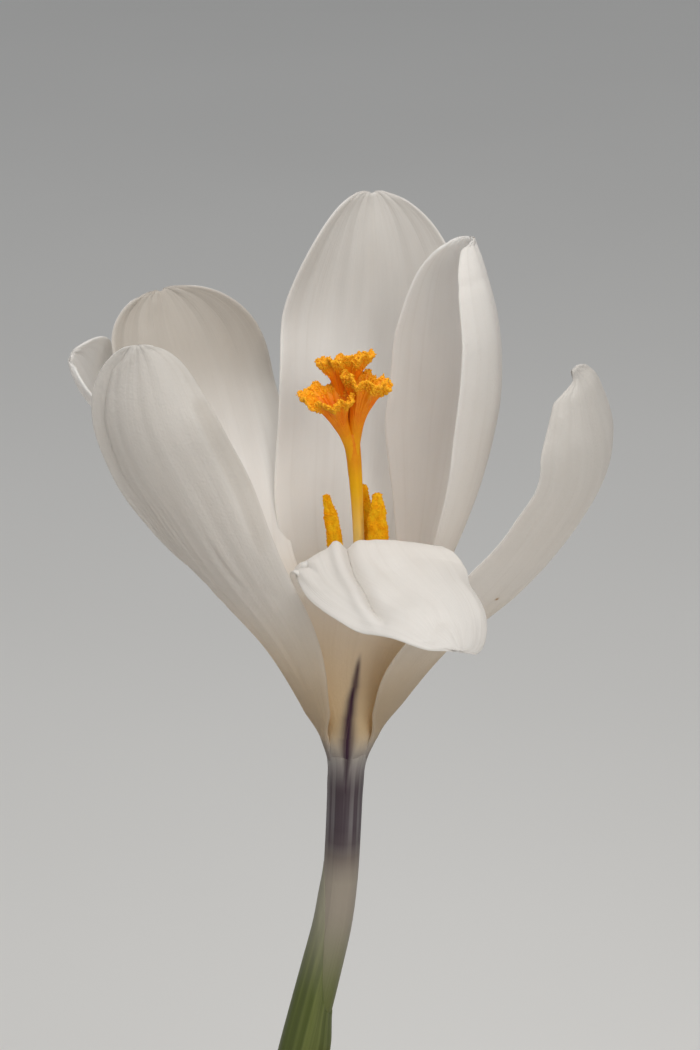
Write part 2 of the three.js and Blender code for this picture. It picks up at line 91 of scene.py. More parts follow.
def waves(seed, count, low, high):
    """Smooth seeded noise in space: a sum of plane waves with wave numbers between low and high."""
    rng = np.random.default_rng(seed)
    k = unit(rng.normal(size=(count, 3))) * rng.uniform(low, high, (count, 1))
    phase = rng.uniform(0, TAU, count)
    return lambda p: np.sin(np.asarray(p) @ k.T + phase).sum(-1) / math.sqrt(count)


def normals(p):
    """Unit normals of a grid of points."""
    return unit(np.cross(np.gradient(p, axis=1), np.gradient(p, axis=0)))


def angles(n):
    return np.arange(n) * TAU / n


def circle(z, r, n):
    """Level ring of n points about the pot's axis."""
    a = angles(n)
    return np.stack([r * np.cos(a), r * np.sin(a), np.full(n, z)], -1)


def across_path(path, s, step=0.01):
    """Unit tangent of a path, and the sideways direction square to it."""
    tangent = unit(path(s + step) - path(s - step))
    return tangent, unit(np.array([0, 1.0, 0]) - tangent * tangent[..., 1:2])


def both(outer, inner=None):
    """One value a point for the two sides of a shell."""
    return np.concatenate([outer.ravel(), (outer if inner is None else inner).ravel()])


def shifted(faces, by):
    return [[i + by for i in face] for face in faces]


def make(name, points, faces, material, replaces=(), uv=None, masks=None):
    """A mesh piece of the part. Points are in millimetres; uv and masks hold one value a point."""
    mesh = bpy.data.meshes.new(name)
    mesh.from_pydata((np.asarray(points, float) * MM).tolist(), [], [list(map(int, f)) for f in faces])
    mesh.polygons.foreach_set("use_smooth", [True] * len(mesh.polygons))
    if uv is not None:
        loops = np.zeros(len(mesh.loops), int)
        mesh.loops.foreach_get("vertex_index", loops)
        layer = mesh.uv_layers.new(name="grain")
        layer.data.foreach_set("uv", np.asarray(uv, float)[loops].ravel())
    for key, values in (masks or {}).items():
        mesh.attributes.new(key, "FLOAT", "POINT").data.foreach_set("value", np.asarray(values, float).ravel())
    mesh.validate()
    mesh.update()
    piece = bpy.data.objects.new(name, mesh)
    bpy.context.scene.collection.objects.link(piece)
    mesh.materials.append(material)
    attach(piece, "root")
    if replaces:
        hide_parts(*replaces)
    return piece


def grid_faces(rows, cols, first=0, flip=False, wrap=False):
    """Quads between the points of a grid, whose rows close on themselves with wrap."""
    i, j = np.meshgrid(np.arange(rows - 1), np.arange(cols if wrap else cols - 1), indexing="ij")
    a, b = i * cols + j, i * cols + (j + 1) % cols
    c, d = (i + 1) * cols + (j + 1) % cols, (i + 1) * cols + j
    return (np.stack([a, d, c, b] if flip else [a, b, c, d], -1).reshape(-1, 4) + first).tolist()


def shell(p, thickness):
    """Closed thin body on a grid: points and faces, the outer side first."""
    rows, cols = p.shape[:2]
    half = normals(p) * (np.broadcast_to(thickness, (rows, cols)) / 2)[..., None]
    points = np.concatenate([(p + half).reshape(-1, 3), (p - half).reshape(-1, 3)])
    n = rows * cols
    faces = grid_faces(rows, cols) + grid_faces(rows, cols, n, flip=True)
    ids = np.arange(n).reshape(rows, cols)
    ids = [*ids[0], *ids[1:, -1], *ids[-1, -2::-1], *ids[-2:0:-1, 0]]
    for a, b in zip(ids, ids[1:] + ids[:1]):
        faces.append([b, a, a + n, b + n])
    return points, faces


def turned(path, stations, n):
    """Body of round sections along a path. A station gives place on the path and radius by angle."""
    a = angles(n)
    points, rings = [], []
    for station in stations:
        s, r = station(a) if callable(station) else station
        s, r = np.broadcast_to(s, n).astype(float), np.broadcast_to(r, n).astype(float)
        tangent, side = across_path(path, s)
        ring = path(s) + np.cross(side, tangent) * (r * np.cos(a))[:, None] + side * (r * np.sin(a))[:, None]
        if not r.any():
            ring = ring[:1]
        rings.append(list(range(len(points), len(points) + len(ring))))
        points += list(ring)
    joined = list(zip(rings, rings[1:])) + ([(rings[-1], rings[0])] if len(rings[0]) > 1 else [])
    faces = []
    for p, q in joined:
        for k in range(n):
            m = (k + 1) % n
            corners = [p[k % len(p)], p[m % len(p)], q[m % len(q)], q[k % len(q)]]
            faces.append(list(dict.fromkeys(corners)))
    return np.array(points), faces


def sheet(shape, rows, cols):
    """Grid of a curled sheet about a midrib, with its place along (u) and across (v)."""
    path = curve(shape["midrib"])
    fine = np.linspace(0, 1, 600)
    m = path(fine)
    run = np.concatenate([[0], np.cumsum(np.linalg.norm(np.diff(m, axis=0), axis=1))])
    u = 1 - (1 - np.linspace(0, 1, rows + 1)) ** 1.15
    s = np.interp(u * run[-1], run, fine)
    m = path(s)
    az = math.radians(shape["azimuth"])
    turn = np.array([[math.cos(az), -math.sin(az), 0], [math.sin(az), math.cos(az), 0], [0, 0, 1]])
    tangent, across = across_path(path, s, 0.001)
    out = np.cross(across, tangent)
    tw = np.radians(keyed(shape["stops"], shape["twist"], u))[:, None]
    b = across * np.cos(tw) + out * np.sin(tw)
    n = out * np.cos(tw) - across * np.sin(tw)
    peak = shape["peak"]
    low = ease(u / peak) ** shape["fill"]
    high = np.sqrt(np.clip(1 - np.clip((u - peak) / (1 - peak), 0, 1) ** shape["blunt"], 0, 1))
    half = np.where(u < peak, shape["claw"] + (shape["widest"] - shape["claw"]) * low, shape["widest"] * high)
    half = np.maximum(half, shape.get("point", 0.2))[:, None]
    flat = ease(half / (0.35 * shape["widest"]) + (u < peak)[:, None])
    even = np.linspace(-1, 1, cols + 1)
    v = (np.sign(even) * (1 - (1 - np.abs(even)) ** 1.25))[None, :]
    stops = shape["bend_stops"]
    turn_of = lambda key: np.radians(keyed(stops, shape.get(key, [0] * len(stops)), u))[:, None]
    bend = np.where(v >= 0, turn_of("left"), turn_of("right")) * np.abs(v)
    bend = (bend + np.where(v >= 0, turn_of("left_roll"), turn_of("right_roll")) * np.abs(v) ** 9) * flat
    wide = np.repeat(half, 2, axis=1)
    for side, place, spread, depth in shape.get("nicks", ()):
        wide[:, side] *= 1 - depth * np.exp(-(((u - place) / spread) ** 2))
    horn, cut, lean = shape.get("horn", (2, 0, 0))
    wide[:, 0] *= 1 - cut * ramp(u, horn - 0.028, horn)
    h = cols // 2
    x, y = np.zeros((2, rows + 1, cols + 1))
    for j in [*range(h + 1, cols + 1), *range(h - 1, -1, -1)]:
        k = j - 1 if j > h else j + 1
        step = wide[:, int(j > h)] * (v[0, j] - v[0, k])
        mean = (bend[:, j] + bend[:, k]) / 2
        x[:, j] = x[:, k] + step * np.cos(mean)
        y[:, j] = y[:, k] + np.abs(step) * np.sin(mean)
    x = x - lean * ramp(u, horn, horn + 0.04)[:, None]
    ripple = shape["wave"] * np.abs(v) ** 3 * np.sin(TAU * (3 * u[:, None] + shape["phase"] + v / 4))
    y = y + ripple * np.sin(np.pi * u)[:, None]
    y = y + shape.get("hook", 0) * ramp(u, 0.93, 1.0)[:, None] ** 2
    p = m[:, None, :] + b[:, None, :] * x[..., None] - n[:, None, :] * y[..., None]
    return p @ turn.T, np.broadcast_to(u[:, None], x.shape), np.broadcast_to(v, x.shape), half


# ---- materials


class Shader:
    """A node material built by calls that return output sockets. Colours are hex codes or sockets."""

    def __init__(self, name):
        self.material = bpy.data.materials.new(name)
        self.material.use_nodes = True
        self.tree = self.material.node_tree
        self.tree.nodes.clear()

    def node(self, kind, inputs=(), **settings):
        made = self.tree.nodes.new("ShaderNode" + kind)
        for key, value in settings.items():
            setattr(made, key, value)
        for key, value in dict(inputs).items():
            if isinstance(value, bpy.types.NodeSocket):
                self.tree.links.new(value, made.inputs[key])
            else:
                made.inputs[key].default_value = value
        return made

    def mask(self, name):
        return self.node("Attribute", attribute_name=name, attribute_type="GEOMETRY").outputs["Fac"]

    def noise(self, scale, detail=3.0, roughness=0.5, distortion=0.0, vector=None):
        """Noise in object space, with the scale per metre, or in the vector's space."""
        if vector is None:
            vector = self.node("TexCoord").outputs["Object"]
        inputs = {"Vector": vector, "Scale": scale, "Detail": detail}
        return self.node("TexNoise", {**inputs, "Roughness": roughness, "Distortion": distortion}).outputs["Fac"]

    def streaks(self, along, across, detail, roughness=0.5, distortion=0.0, offset=0.0):
        """Noise on the surface, stretched along and across the organ."""
        uv = self.node("UVMap", uv_map="grain").outputs["UV"]
        inputs = {"Vector": uv, "Scale": (across, along, 1), "Location": (offset, offset, 0)}
        return self.noise(1.0, detail, roughness, distortion, self.node("Mapping", inputs).outputs["Vector"])

    def cells(self, scale, feature="F1"):
        place = self.node("TexCoord").outputs["Object"]
        return self.node("TexVoronoi", {"Vector": place, "Scale": scale}, feature=feature).outputs["Distance"]

    def math(self, operation, a, b, clamp=False):
        return self.node("Math", {0: a, 1: b}, operation=operation, use_clamp=clamp).outputs[0]

    def scaled(self, value, share):
        return self.math("MULTIPLY", value, share)

    def span(self, value, low, high, to_low=0.0, to_high=1.0):
        ends = {"From Min": low, "From Max": high, "To Min": to_low, "To Max": to_high}
        return self.node("MapRange", {"Value": value, **ends}, interpolation_type="SMOOTHSTEP").outputs["Result"]

    def tint(self, base, code, where, share=1.0):
        """The base mixed with a colour where a socket or a named mask is high, at most to the share."""
        factor = self.mask(where) if isinstance(where, str) else where
        factor = factor if share == 1 else self.scaled(factor, share)
        return self.node("Mix", {0: factor, 6: colour(base), 7: colour(code)}, data_type="RGBA").outputs[2]

    def layered(self, base, *layers):
        for layer in layers:
            base = self.tint(base, *layer)
        return base

    def bump(self, height, distance, strength=1.0, normal=None):
        inputs = {"Height": height, "Distance": distance * MM, "Strength": strength}
        return self.node("Bump", inputs if normal is None else {**inputs, "Normal": normal}).outputs["Normal"]

    def solid(self, base, roughness, normal=None, **more):
        inputs = {"Base Color": base, "Roughness": roughness, **more}
        return self.node("BsdfPrincipled", inputs if normal is None else {**inputs, "Normal": normal}).outputs[0]

    def finish(self, surface):
        self.node("OutputMaterial", {"Surface": surface})
        return self.material

    def tissue(self, base, normal, roughness, through, sheen=0.0, specular=0.35):
        """Thin plant tissue: a matt, slightly glossy face that also lets light through."""
        gloss = {"Specular IOR Level": specular, "Sheen Weight": sheen, "Sheen Roughness": 0.4}
        face = self.solid(base, roughness, normal, **gloss)
        passed = self.node("BsdfTranslucent", {"Color": base, "Normal": normal}).outputs[0]
        return self.finish(self.node("MixShader", {0: through, 1: face, 2: passed}).outputs[0])


def colour(c):
    """A socket as it is, or an sRGB hex code as a linear colour."""
    if not isinstance(c, str):
        return c
    parts = [int(c[i : i + 2], 16) / 255 for i in (1, 3, 5)]
    return (*(p / 12.92 if p <= 0.04045 else ((p + 0.055) / 1.055) ** 2.4 for p in parts), 1.0)


def tepal_material():
    s = Shader("tepal_tissue")
    veins = s.streaks(1.3, 30, 3, 0.55, 0.25)
    fine = s.streaks(5, 120, 2, 0.6, offset=3.1)
    broad = s.streaks(3, 5, 2, offset=7.7)
    purple = s.math("MULTIPLY", s.mask("stain"), s.span(veins, 0.2, 0.55, 0.75, 1.0), clamp=True)
    grey = [("#d6cfc6", s.span(veins, 0.45, 0.8), 0.16), ("#d6cfc6", s.span(broad, 0.35, 0.75), 0.14)]
    # a1937f is painted shade: a beige-grey darkening that stands in for shade on the tepals.
    claw = [("#ebcf98", "glow"), ("#a1937f", "painted_shade", 0.58), ("#482840", purple)]
    # fbfaf8 along the rim is a painted highlight: the margins lightened as if they caught the light.
    base = s.layered("#f7f5f2", *grey, *claw, ("#fbfaf8", "rim", 0.1), ("#a5761c", "pollen"))
    normal = s.bump(s.math("ADD", veins, s.scaled(fine, 0.35)), 0.04)
    relief = s.math("ADD", s.scaled(s.cells(4600, "SMOOTH_F1"), 0.6), s.noise(1500, 4, 0.65))
    normal = s.bump(relief, 0.07, s.math("ADD", s.scaled(s.mask("outer"), 0.45), 0.12), normal)
    return s.tissue(base, normal, s.span(broad, 0.3, 0.7, 0.5, 0.62), 0.46, sheen=0.1, specular=0.25)


def tube_material():
    s = Shader("tube_tissue")
    streaks = s.streaks(1.2, 22, 3, 0.5, 0.2)
    band = s.math("MULTIPLY", s.mask("stain"), s.span(streaks, 0.25, 0.6, 0.8, 1.0), clamp=True)
    # a1937f is painted shade: a beige-grey darkening that stands in for shade on the tube.
    layers = [("#ebcf98", "glow"), ("#a1937f", "painted_shade", 0.58), ("#757d45", "green"), ("#38202f", band)]
    return s.tissue(s.layered("#f4f2ef", *layers), s.bump(streaks, 0.1), 0.45, 0.25, specular=0.4)


def stigma_material():
    s = Shader("stigma_tissue")
    masks = [("#ffac14", "rim"), ("#ffc21c", "bead"), ("#ffc400", "golden"), ("#fadf86", "pale")]
    base = s.layered("#f57e00", ("#fc9806", s.span(s.noise(900, 3, 0.6), 0.3, 0.7)), *masks)
    return s.tissue(base, s.bump(s.noise(2600, 2), 0.06, 0.7), 0.5, 0.2)


def anther_material():
    s = Shader("anther_tissue")
    base = s.layered("#ffb200", ("#ffc814", s.span(s.noise(1500, 2), 0.3, 0.7)), ("#efe2b8", "pale"))
    return s.tissue(base, s.bump(s.cells(6500), 0.05, 0.7), 0.7, 0.2, specular=0.2)


def leaf_material():
    s = Shader("leaf_tissue")
    veins = s.streaks(1.5, 34, 2)
    patches = s.span(s.streaks(6, 3, 3, offset=2.0), 0.3, 0.7)
    greens = [("#4a7a30", patches), ("#6b9448", s.span(veins, 0.45, 0.7), 0.35)]
    base = s.layered("#2f5a22", *greens, ("#cfdcb4", "stripe"), ("#dfe2bd", "pale"))
    return s.tissue(base, s.bump(veins, 0.1), 0.38, 0.22, specular=0.5)


def bract_material():
    s = Shader("bract_tissue")
    veins = s.streaks(1.5, 26, 2)
    base = s.layered("#5f6a2e", ("#7f8848", s.span(veins, 0.3, 0.7)), ("#aca791", "pale"))
    return s.tissue(base, s.bump(veins, 0.12), 0.42, 0.3, specular=0.45)


def sheath_material():
    s = Shader("sheath_paper")
    fibres, patches = s.streaks(1.3, 60, 4, 0.6, 0.4), s.noise(260, 3, 0.6)
    browns = [("#a98c5e", s.span(fibres, 0.35, 0.7)), ("#8a6a44", s.span(patches, 0.45, 0.7), 0.6)]
    base = s.layered("#e0d5b6", *browns)
    return s.tissue(base, s.bump(fibres, 0.22, 1.0, s.bump(patches, 0.3)), 0.6, 0.3)


def soil_material():
    s = Shader("potting_soil")
    crumbs, lumps, tone = s.noise(420, 8, 0.72), s.cells(380), s.noise(90, 4)
    browns = [("#4a3423", s.span(crumbs, 0.35, 0.7)), ("#2c2018", s.span(tone, 0.4, 0.65), 0.5)]
    base = s.layered("#1d130c", *browns)
    normal = s.bump(crumbs, 0.7, 0.9, s.bump(lumps, 0.5, 0.6))
    return s.finish(s.solid(base, s.span(tone, 0.3, 0.7, 0.8, 0.98), normal))


def crumb_material():
    s = Shader("soil_crumb")
    tone = s.noise(300, 5, 0.7)
    base = s.layered("#241810", ("#5a4230", "tone"), ("#b9ad98", "grit"), ("#1a110b", tone, 0.4))
    return s.finish(s.solid(base, 0.92, s.bump(tone, 0.4, 0.9)))


def pot_material():
    s = Shader("terracotta_clay")
    mottle, speck, lime = s.noise(38, 6, 0.62), s.noise(620, 4, 0.6), s.noise(22, 7, 0.68, 0.4)
    clay = [("#c4704a", s.span(mottle, 0.3, 0.7)), ("#7d3a22", s.span(speck, 0.55, 0.75), 0.35)]
    age = [("#dcb9a0", s.span(lime, 0.52, 0.72), 0.4), ("#dba386", "worn", 0.5), ("#7a3c25", "damp", 0.6)]
    base = s.layered("#a65332", *clay, *age)
    normal = s.bump(speck, 0.12, 0.8, s.bump(mottle, 0.5, 0.4))
    return s.finish(s.solid(base, s.span(mottle, 0.3, 0.7, 0.78, 0.92), normal))


def corm_material():
    s = Shader("corm_tunic")
    fibres = s.noise(260, 6, 0.7, 0.6)
    base = s.tint("#6b4424", "#b08656", s.span(fibres, 0.35, 0.65))
    return s.finish(s.solid(base, 0.8, s.bump(fibres, 0.5)))


TEPAL, TUBE, STIGMA, ANTHER = tepal_material(), tube_material(), stigma_material(), anther_material()
LEAF, BRACT, SHEATH = leaf_material(), bract_material(), sheath_material()
SOIL, CRUMB, POT, CORM = soil_material(), crumb_material(), pot_material(), corm_material()

# ---- tepals

# How the tepals are curled: the midrib runs outward, sideways and up from the throat, widths are half widths,
# angles are in degrees, and a nick is (side, place along, spread, depth).
USUAL = dict(stops=[0, 0.4, 0.75, 1], bend_stops=[0, 0.35, 0.7, 1], wave=0.15)
TEPALS = {
    "back": dict(
        azimuth=88,
        midrib=[
            [2.4, 0, -0.3], [6.5, -0.3, 8.4], [9.6, -0.8, 16.5], [12.4, -1.2, 26.4], [15.7, -1.7, 36.3],
            [18.3, -1.4, 44.5],
        ],
        claw=1.5, widest=8.76, peak=0.75, fill=0.5, blunt=1.6,
        left=[-5, -3, 27, 54], right=[18, 25, 36, 39], twist=[0, -18, -9, -8],
        phase=0.1, nicks=[(1, 0.36, 0.16, -0.18)],
    ),
    "right_back": dict(
        azimuth=28,
        midrib=[
            [1.4, 0, 0.3], [5.4, -1.1, 8.1], [8.6, -2.1, 16.8], [11.2, -3, 26.2], [11.9, -2.9, 36],
            [10.8, -1.5, 44.4],
        ],
        claw=0.85, widest=9.44, peak=0.63, fill=1.34, blunt=3.06,
        left=[52, 67, 79, 93], right=[52, 86, 109, 106], twist=[0, 0, -8, -8],
        phase=0.4, nicks=[(0, 0.93, 0.01, 0.03)],
    ),
    "right_front": dict(
        azimuth=334,
        midrib=[
            [2.4, 0, -0.3], [7.8, 0.7, 7.8], [14.4, 3, 14.4], [19.6, 3.6, 21.6], [22.2, 2.4, 28.7],
            [21.2, 0.5, 36.5],
        ],
        claw=1.5, widest=7.64, peak=0.56, fill=0.4, blunt=1.81,
        left=[30, 39, 45, 41], right=[48, 47, 46, 54], twist=[0, 7, 6, 17],
        phase=0.3, hook=0.6, horn=(0.982, 0.76, 0.4), nicks=[(0, 0.87, 0.05, -0.12), (0, 0.06, 0.08, 0.22)],
        right_roll=[0, -25, -35, -20],
    ),
    "front": dict(
        azimuth=280,
        midrib=[
            [1.9, 0, 0.3], [2.2, 0.2, 7.7], [3.9, 1.1, 14.1], [6.3, 0.5, 20], [10.8, 0.8, 19.7], [18.6, 3.4, 18.7],
            [25.2, 4.5, 17.1],
        ],
        claw=1, widest=6.98, peak=0.51, fill=0.4, blunt=2.41,
        bend_stops=[0, 0.3, 0.42, 0.54, 0.75, 1],
        left=[8, 5, -10, -15, -41, -34], right=[20, 10, -18, -50, -27, -32], twist=[0, 7, -6, 17],
        wave=0.2, phase=0.5, nicks=[(1, 0.65, 0.075, -0.17), (1, 0.49, 0.04, 0.05)],
    ),
    "left_front": dict(
        azimuth=200,
        midrib=[
            [2.2, 1.2, -0.3], [6.6, 3.1, 8.9], [11.6, 4, 16.4], [15.3, 2.6, 23.2], [18.4, 1.2, 30.5],
            [18.8, -0.3, 37.7],
        ],
        claw=1.5, widest=6.43, peak=0.71, fill=0.78, blunt=2.51,
        left=[37, 42, 45, 57], right=[20, 28, 41, 39], twist=[-28, -30, -49, -55],
        phase=0.9, nicks=[(1, 0.06, 0.09, 0.32)], left_roll=[0, 30, 45, 10], right_roll=[0, 0, -55, -70],
    ),
    "left": dict(
        azimuth=176,
        midrib=[
            [1.4, 0.8, 0.3], [6.7, 0.4, 8.6], [13, 0.3, 15.4], [18.8, -1.5, 22], [21.9, -2.6, 28.5],
            [24.3, -2.1, 33.7],
        ],
        claw=0.5, widest=8.57, peak=0.76, fill=1.6, blunt=3.32,
        left=[22, 38, 36, 38], right=[34, 8, 17, 38], twist=[0, -14, -23, 5],
        phase=0.2,
    ),
    "left_back": dict(
        azimuth=140,
        midrib=[
            [1.4, -0.2, 0.3], [4.7, 1, 8.7], [9.1, 3.3, 15.3], [13.3, 2.4, 22.2], [17.6, 1.2, 29.2],
            [21.9, 0, 36.6],
        ],
        claw=0.5, widest=8.81, peak=0.68, fill=1.35, blunt=2.77,
        left=[17, 38, 35, 41], right=[32, 16, 8, 39], twist=[15, -6, 7, 31],
        wave=0.2, phase=0.7, nicks=[(0, 0.36, 0.15, -0.3)],
    ),
}
# Outline of the throat: radius by height above it.
FUNNEL_Z = [-9, -6, -4, -3, -2, -1, 0, 1, 2, 3, 4]
FUNNEL_R = [1.46, 1.47, 1.54, 1.66, 1.88, 2.2, 2.62, 3.1, 3.65, 4.3, 5.0]
# The same outline, blurred.
FINE_Z = np.linspace(-12, 6, 361)
BLUR = np.exp(-np.linspace(-2, 2, 41) ** 2)
FINE_R = np.convolve(np.pad(np.interp(FINE_Z, FUNNEL_Z, FUNNEL_R), 20, mode="edge"), BLUR / BLUR.sum(), "valid")


def funnel(z):
    """Outer radius of the throat at height z above it."""
    return np.interp(z, FINE_Z, FINE_R)


# Where each claw stands round the throat: middle and half spread in degrees, and whether it is an inner one.
FEET = {
    "back": (88, 38, False),
    "right_back": (30, 44, True),
    "right_front": (346, 27, False),
    "front": (271, 78, True),
    "left_front": (196, 27, False),
    "left": (172, 28, True),
    "left_back": (138, 36, True),
}
SINK_Z = [-5, -3.4, -2.4, -1.6, -1, 0]
SINK = {False: [-0.6, -0.3, -0.17, -0.11, -0.08, -0.08], True: [-0.7, -0.45, -0.24, -0.19, -0.22, -0.52]}


def foot_r(z, inner):
    """Distance from the axis at which the foot of a tepal lies at height z."""
    return funnel(np.minimum(z, 0) if inner else z) + np.interp(z, SINK_Z, SINK[inner])


def seat(p, v, foot):
    """Lays the lowest part of a tepal on the funnel at the top of the tube."""
    middle, spread, inner = foot
    x, y, z = p[..., 0], p[..., 1], p[..., 2]
    r = np.hypot(x, y)
    r = r + (foot_r(z, inner) - r) * (1 - ramp(z, 0, 3.6))
    want = np.radians(middle + spread * v)
    off = (np.arctan2(y, x) - want + math.pi) % TAU - math.pi
    a = want + off * ramp(z, -0.5, 3.4)
    return np.stack([r * np.cos(a), r * np.sin(a), z], -1)


def claw_root(p, v, foot, rows=22, depth=5.0):
    """Rows below a tepal's claw that sink into the tube."""
    middle, spread, inner = foot
    made = []
    for k in range(rows, 0, -1):
        t = k / rows
        z = p[0, :, 2] - depth * t
        a = np.radians(middle + spread * v[0] * (1 - 0.4 * ease(t)))
        r = foot_r(z, inner)
        shift = np.interp(z, [-10.4, -4.2, 0], [-0.55, -0.28, 0])
        made.append(np.stack([r * np.cos(a) + shift, r * np.sin(a), z], -1))
    return np.concatenate([np.array(made), p])


# Thickness of a tepal at its edge, what its middle has more, and how wide the rounded edge is.
EDGE, BLADE, ROUNDING = 0.05, 0.33, 0.3
# Narrow folds: places as (u, v), width and height in millimetres (plus is toward the outer face), and how much
# of a step to one side the fold is.
FOLDS = {
    "front": [
        (
            [
                (0.46, -0.28), (0.53, -0.31), (0.585, -0.34), (0.667, -0.44), (0.731, -0.58), (0.8, -0.69),
                (0.88, -0.93),
            ],
            0.4, 0.66, 1.0,
        ),
        ([(0.43, -1.0), (0.5, -0.9), (0.57, -0.66)], 0.3, -0.24, 0),
        ([(0.4, -1.0), (0.5, -0.96), (0.6, -0.68)], 0.26, 0.24, 0.3),
        ([(0.37, -0.98), (0.5, -1.0), (0.64, -0.78)], 0.3, -0.2, 0),
        ([(0.98, -1.0), (0.935, -0.4), (0.9, -0.08), (0.86, 0.26)], 0.9, 0.34, 0.3),
        ([(0.66, 0.9), (0.78, 0.8), (0.843, 0.83), (0.9, 0.82)], 0.6, -0.16, 0),
        ([(0.6, 0.1), (0.69, 0.08), (0.75, -0.11), (0.83, -0.35)], 1.7, 0.4, 0),
    ],
    "left_front": [
        ([(0.57, 0.1), (0.521, 0.11), (0.489, 0.13), (0.44, 0.23)], 0.34, -0.12, 0.8),
        ([(0.46, 0.4), (0.403, 0.778), (0.35, 1.0)], 0.6, -0.07, 0.6),
        ([(1.0, -0.3), (0.96, -0.35), (0.9, -0.5)], 0.35, 0.14, 0.4),
        ([(1.0, -0.8), (0.95, -0.7), (0.86, -0.78), (0.76, -0.78), (0.66, -0.7)], 0.3, -0.2, 0.6),
        ([(0.9, 0.74), (0.8, 0.72), (0.7, 0.68), (0.58, 0.66), (0.48, 0.6)], 0.5, 0.14, 0.9),
    ],
    "right_front": [
        ([(0.95, -0.9), (0.894, -0.556), (0.82, -0.3)], 0.7, 0.16, 0.3),
        ([(0.9, -0.8), (0.8, -0.78), (0.68, -0.74), (0.5, -0.7)], 0.4, -0.14, 0.5),
    ],
    "right_back": [([(0.97, -0.7), (0.8, -0.6), (0.6, -0.62)], 1.0, 0.14, 0)],
    "left_back": [([(0.99, 0.39), (0.95, 0.37), (0.85, 0.34)], 0.6, -0.16, 0.3)],
    "back": [
        ([(1.0, 0.1), (0.92, 0.12), (0.75, 0.1)], 0.8, 0.14, 0),
        ([(0.97, 0.4), (0.8, 0.3), (0.6, 0.24)], 0.7, 0.12, 0.3),
        ([(0.95, -0.4), (0.8, -0.34), (0.55, -0.3)], 0.8, 0.1, -0.3),
    ],
}
# Small gaps in the outline at the apex: place across, width and depth, the last two in millimetres.
NOTCHES = {"back": (0.05, 0.6, 0.2), "left_back": (0.4, 0.7, 0.2), "left": (0.2, 0.6, 0.12)}
# The purple stripe on the front claw: its middle and half width by place along the tepal.
STRIPE_U = [-0.12, 0, 0.018, 0.042, 0.084, 0.12, 0.156, 0.25]
STRIPE_V = [-0.04, -0.06, -0.09, -0.13, -0.07, 0.02, 0.045, 0.075]
STRIPE_WIDTH = [0.5, 0.52, 0.54, 0.5, 0.42, 0.33, 0.22, 0.06]
# The grain of pollen that lies on the right front tepal.
SPECK = {"on": "right_front", "u": 0.428, "v": -0.361, "radius": 0.2}
# Painted shade: grey-beige darkening of the inner face from a place along it, and of the whole outer face.
SHADE = {"left_back": 1.0, "back": 0.5, "left": 0.3, "front": 0.25}
SHADE_FROM = {"front": (0.4, 0.55)}
OUTER_SHADE = {"left_front": 0.55, "right_front": 0.5, "right_back": 0.2}


def fold_height(u, v, half, length, lines):
    """Height of the folds at each point of a tepal."""
    total = np.zeros(u.shape)
    q = np.stack([u * length, v * half], -1)
    for line, width, height, lean in lines:
        points = [np.array([a * length, b * np.interp(a, u[:, 0], half[:, 0])]) for a, b in line]
        near, side, along = np.full(u.shape, 1e9), np.zeros(u.shape), np.zeros(u.shape)
        for k, (start, end) in enumerate(zip(points, points[1:])):
            d = end - start
            t = np.clip((q - start) @ d / (d @ d), 0, 1)
            off = q - start - t[..., None] * d
            gap = np.hypot(off[..., 0], off[..., 1])
            turn = np.sign(d[0] * off[..., 1] - d[1] * off[..., 0])
            closer = gap < near
            near, side = np.where(closer, gap, near), np.where(closer, turn, side)
            along = np.where(closer, (k + t) / (len(points) - 1), along)
        fade = (0.25 + 0.75 * ramp(along, 0, 0.2)) * (1 - ramp(along, 0.65, 1))
        x = near / width
        total += height * fade * (np.exp(-(x**2)) + lean * side * x * np.exp(-(x**2) / 3))
    return total


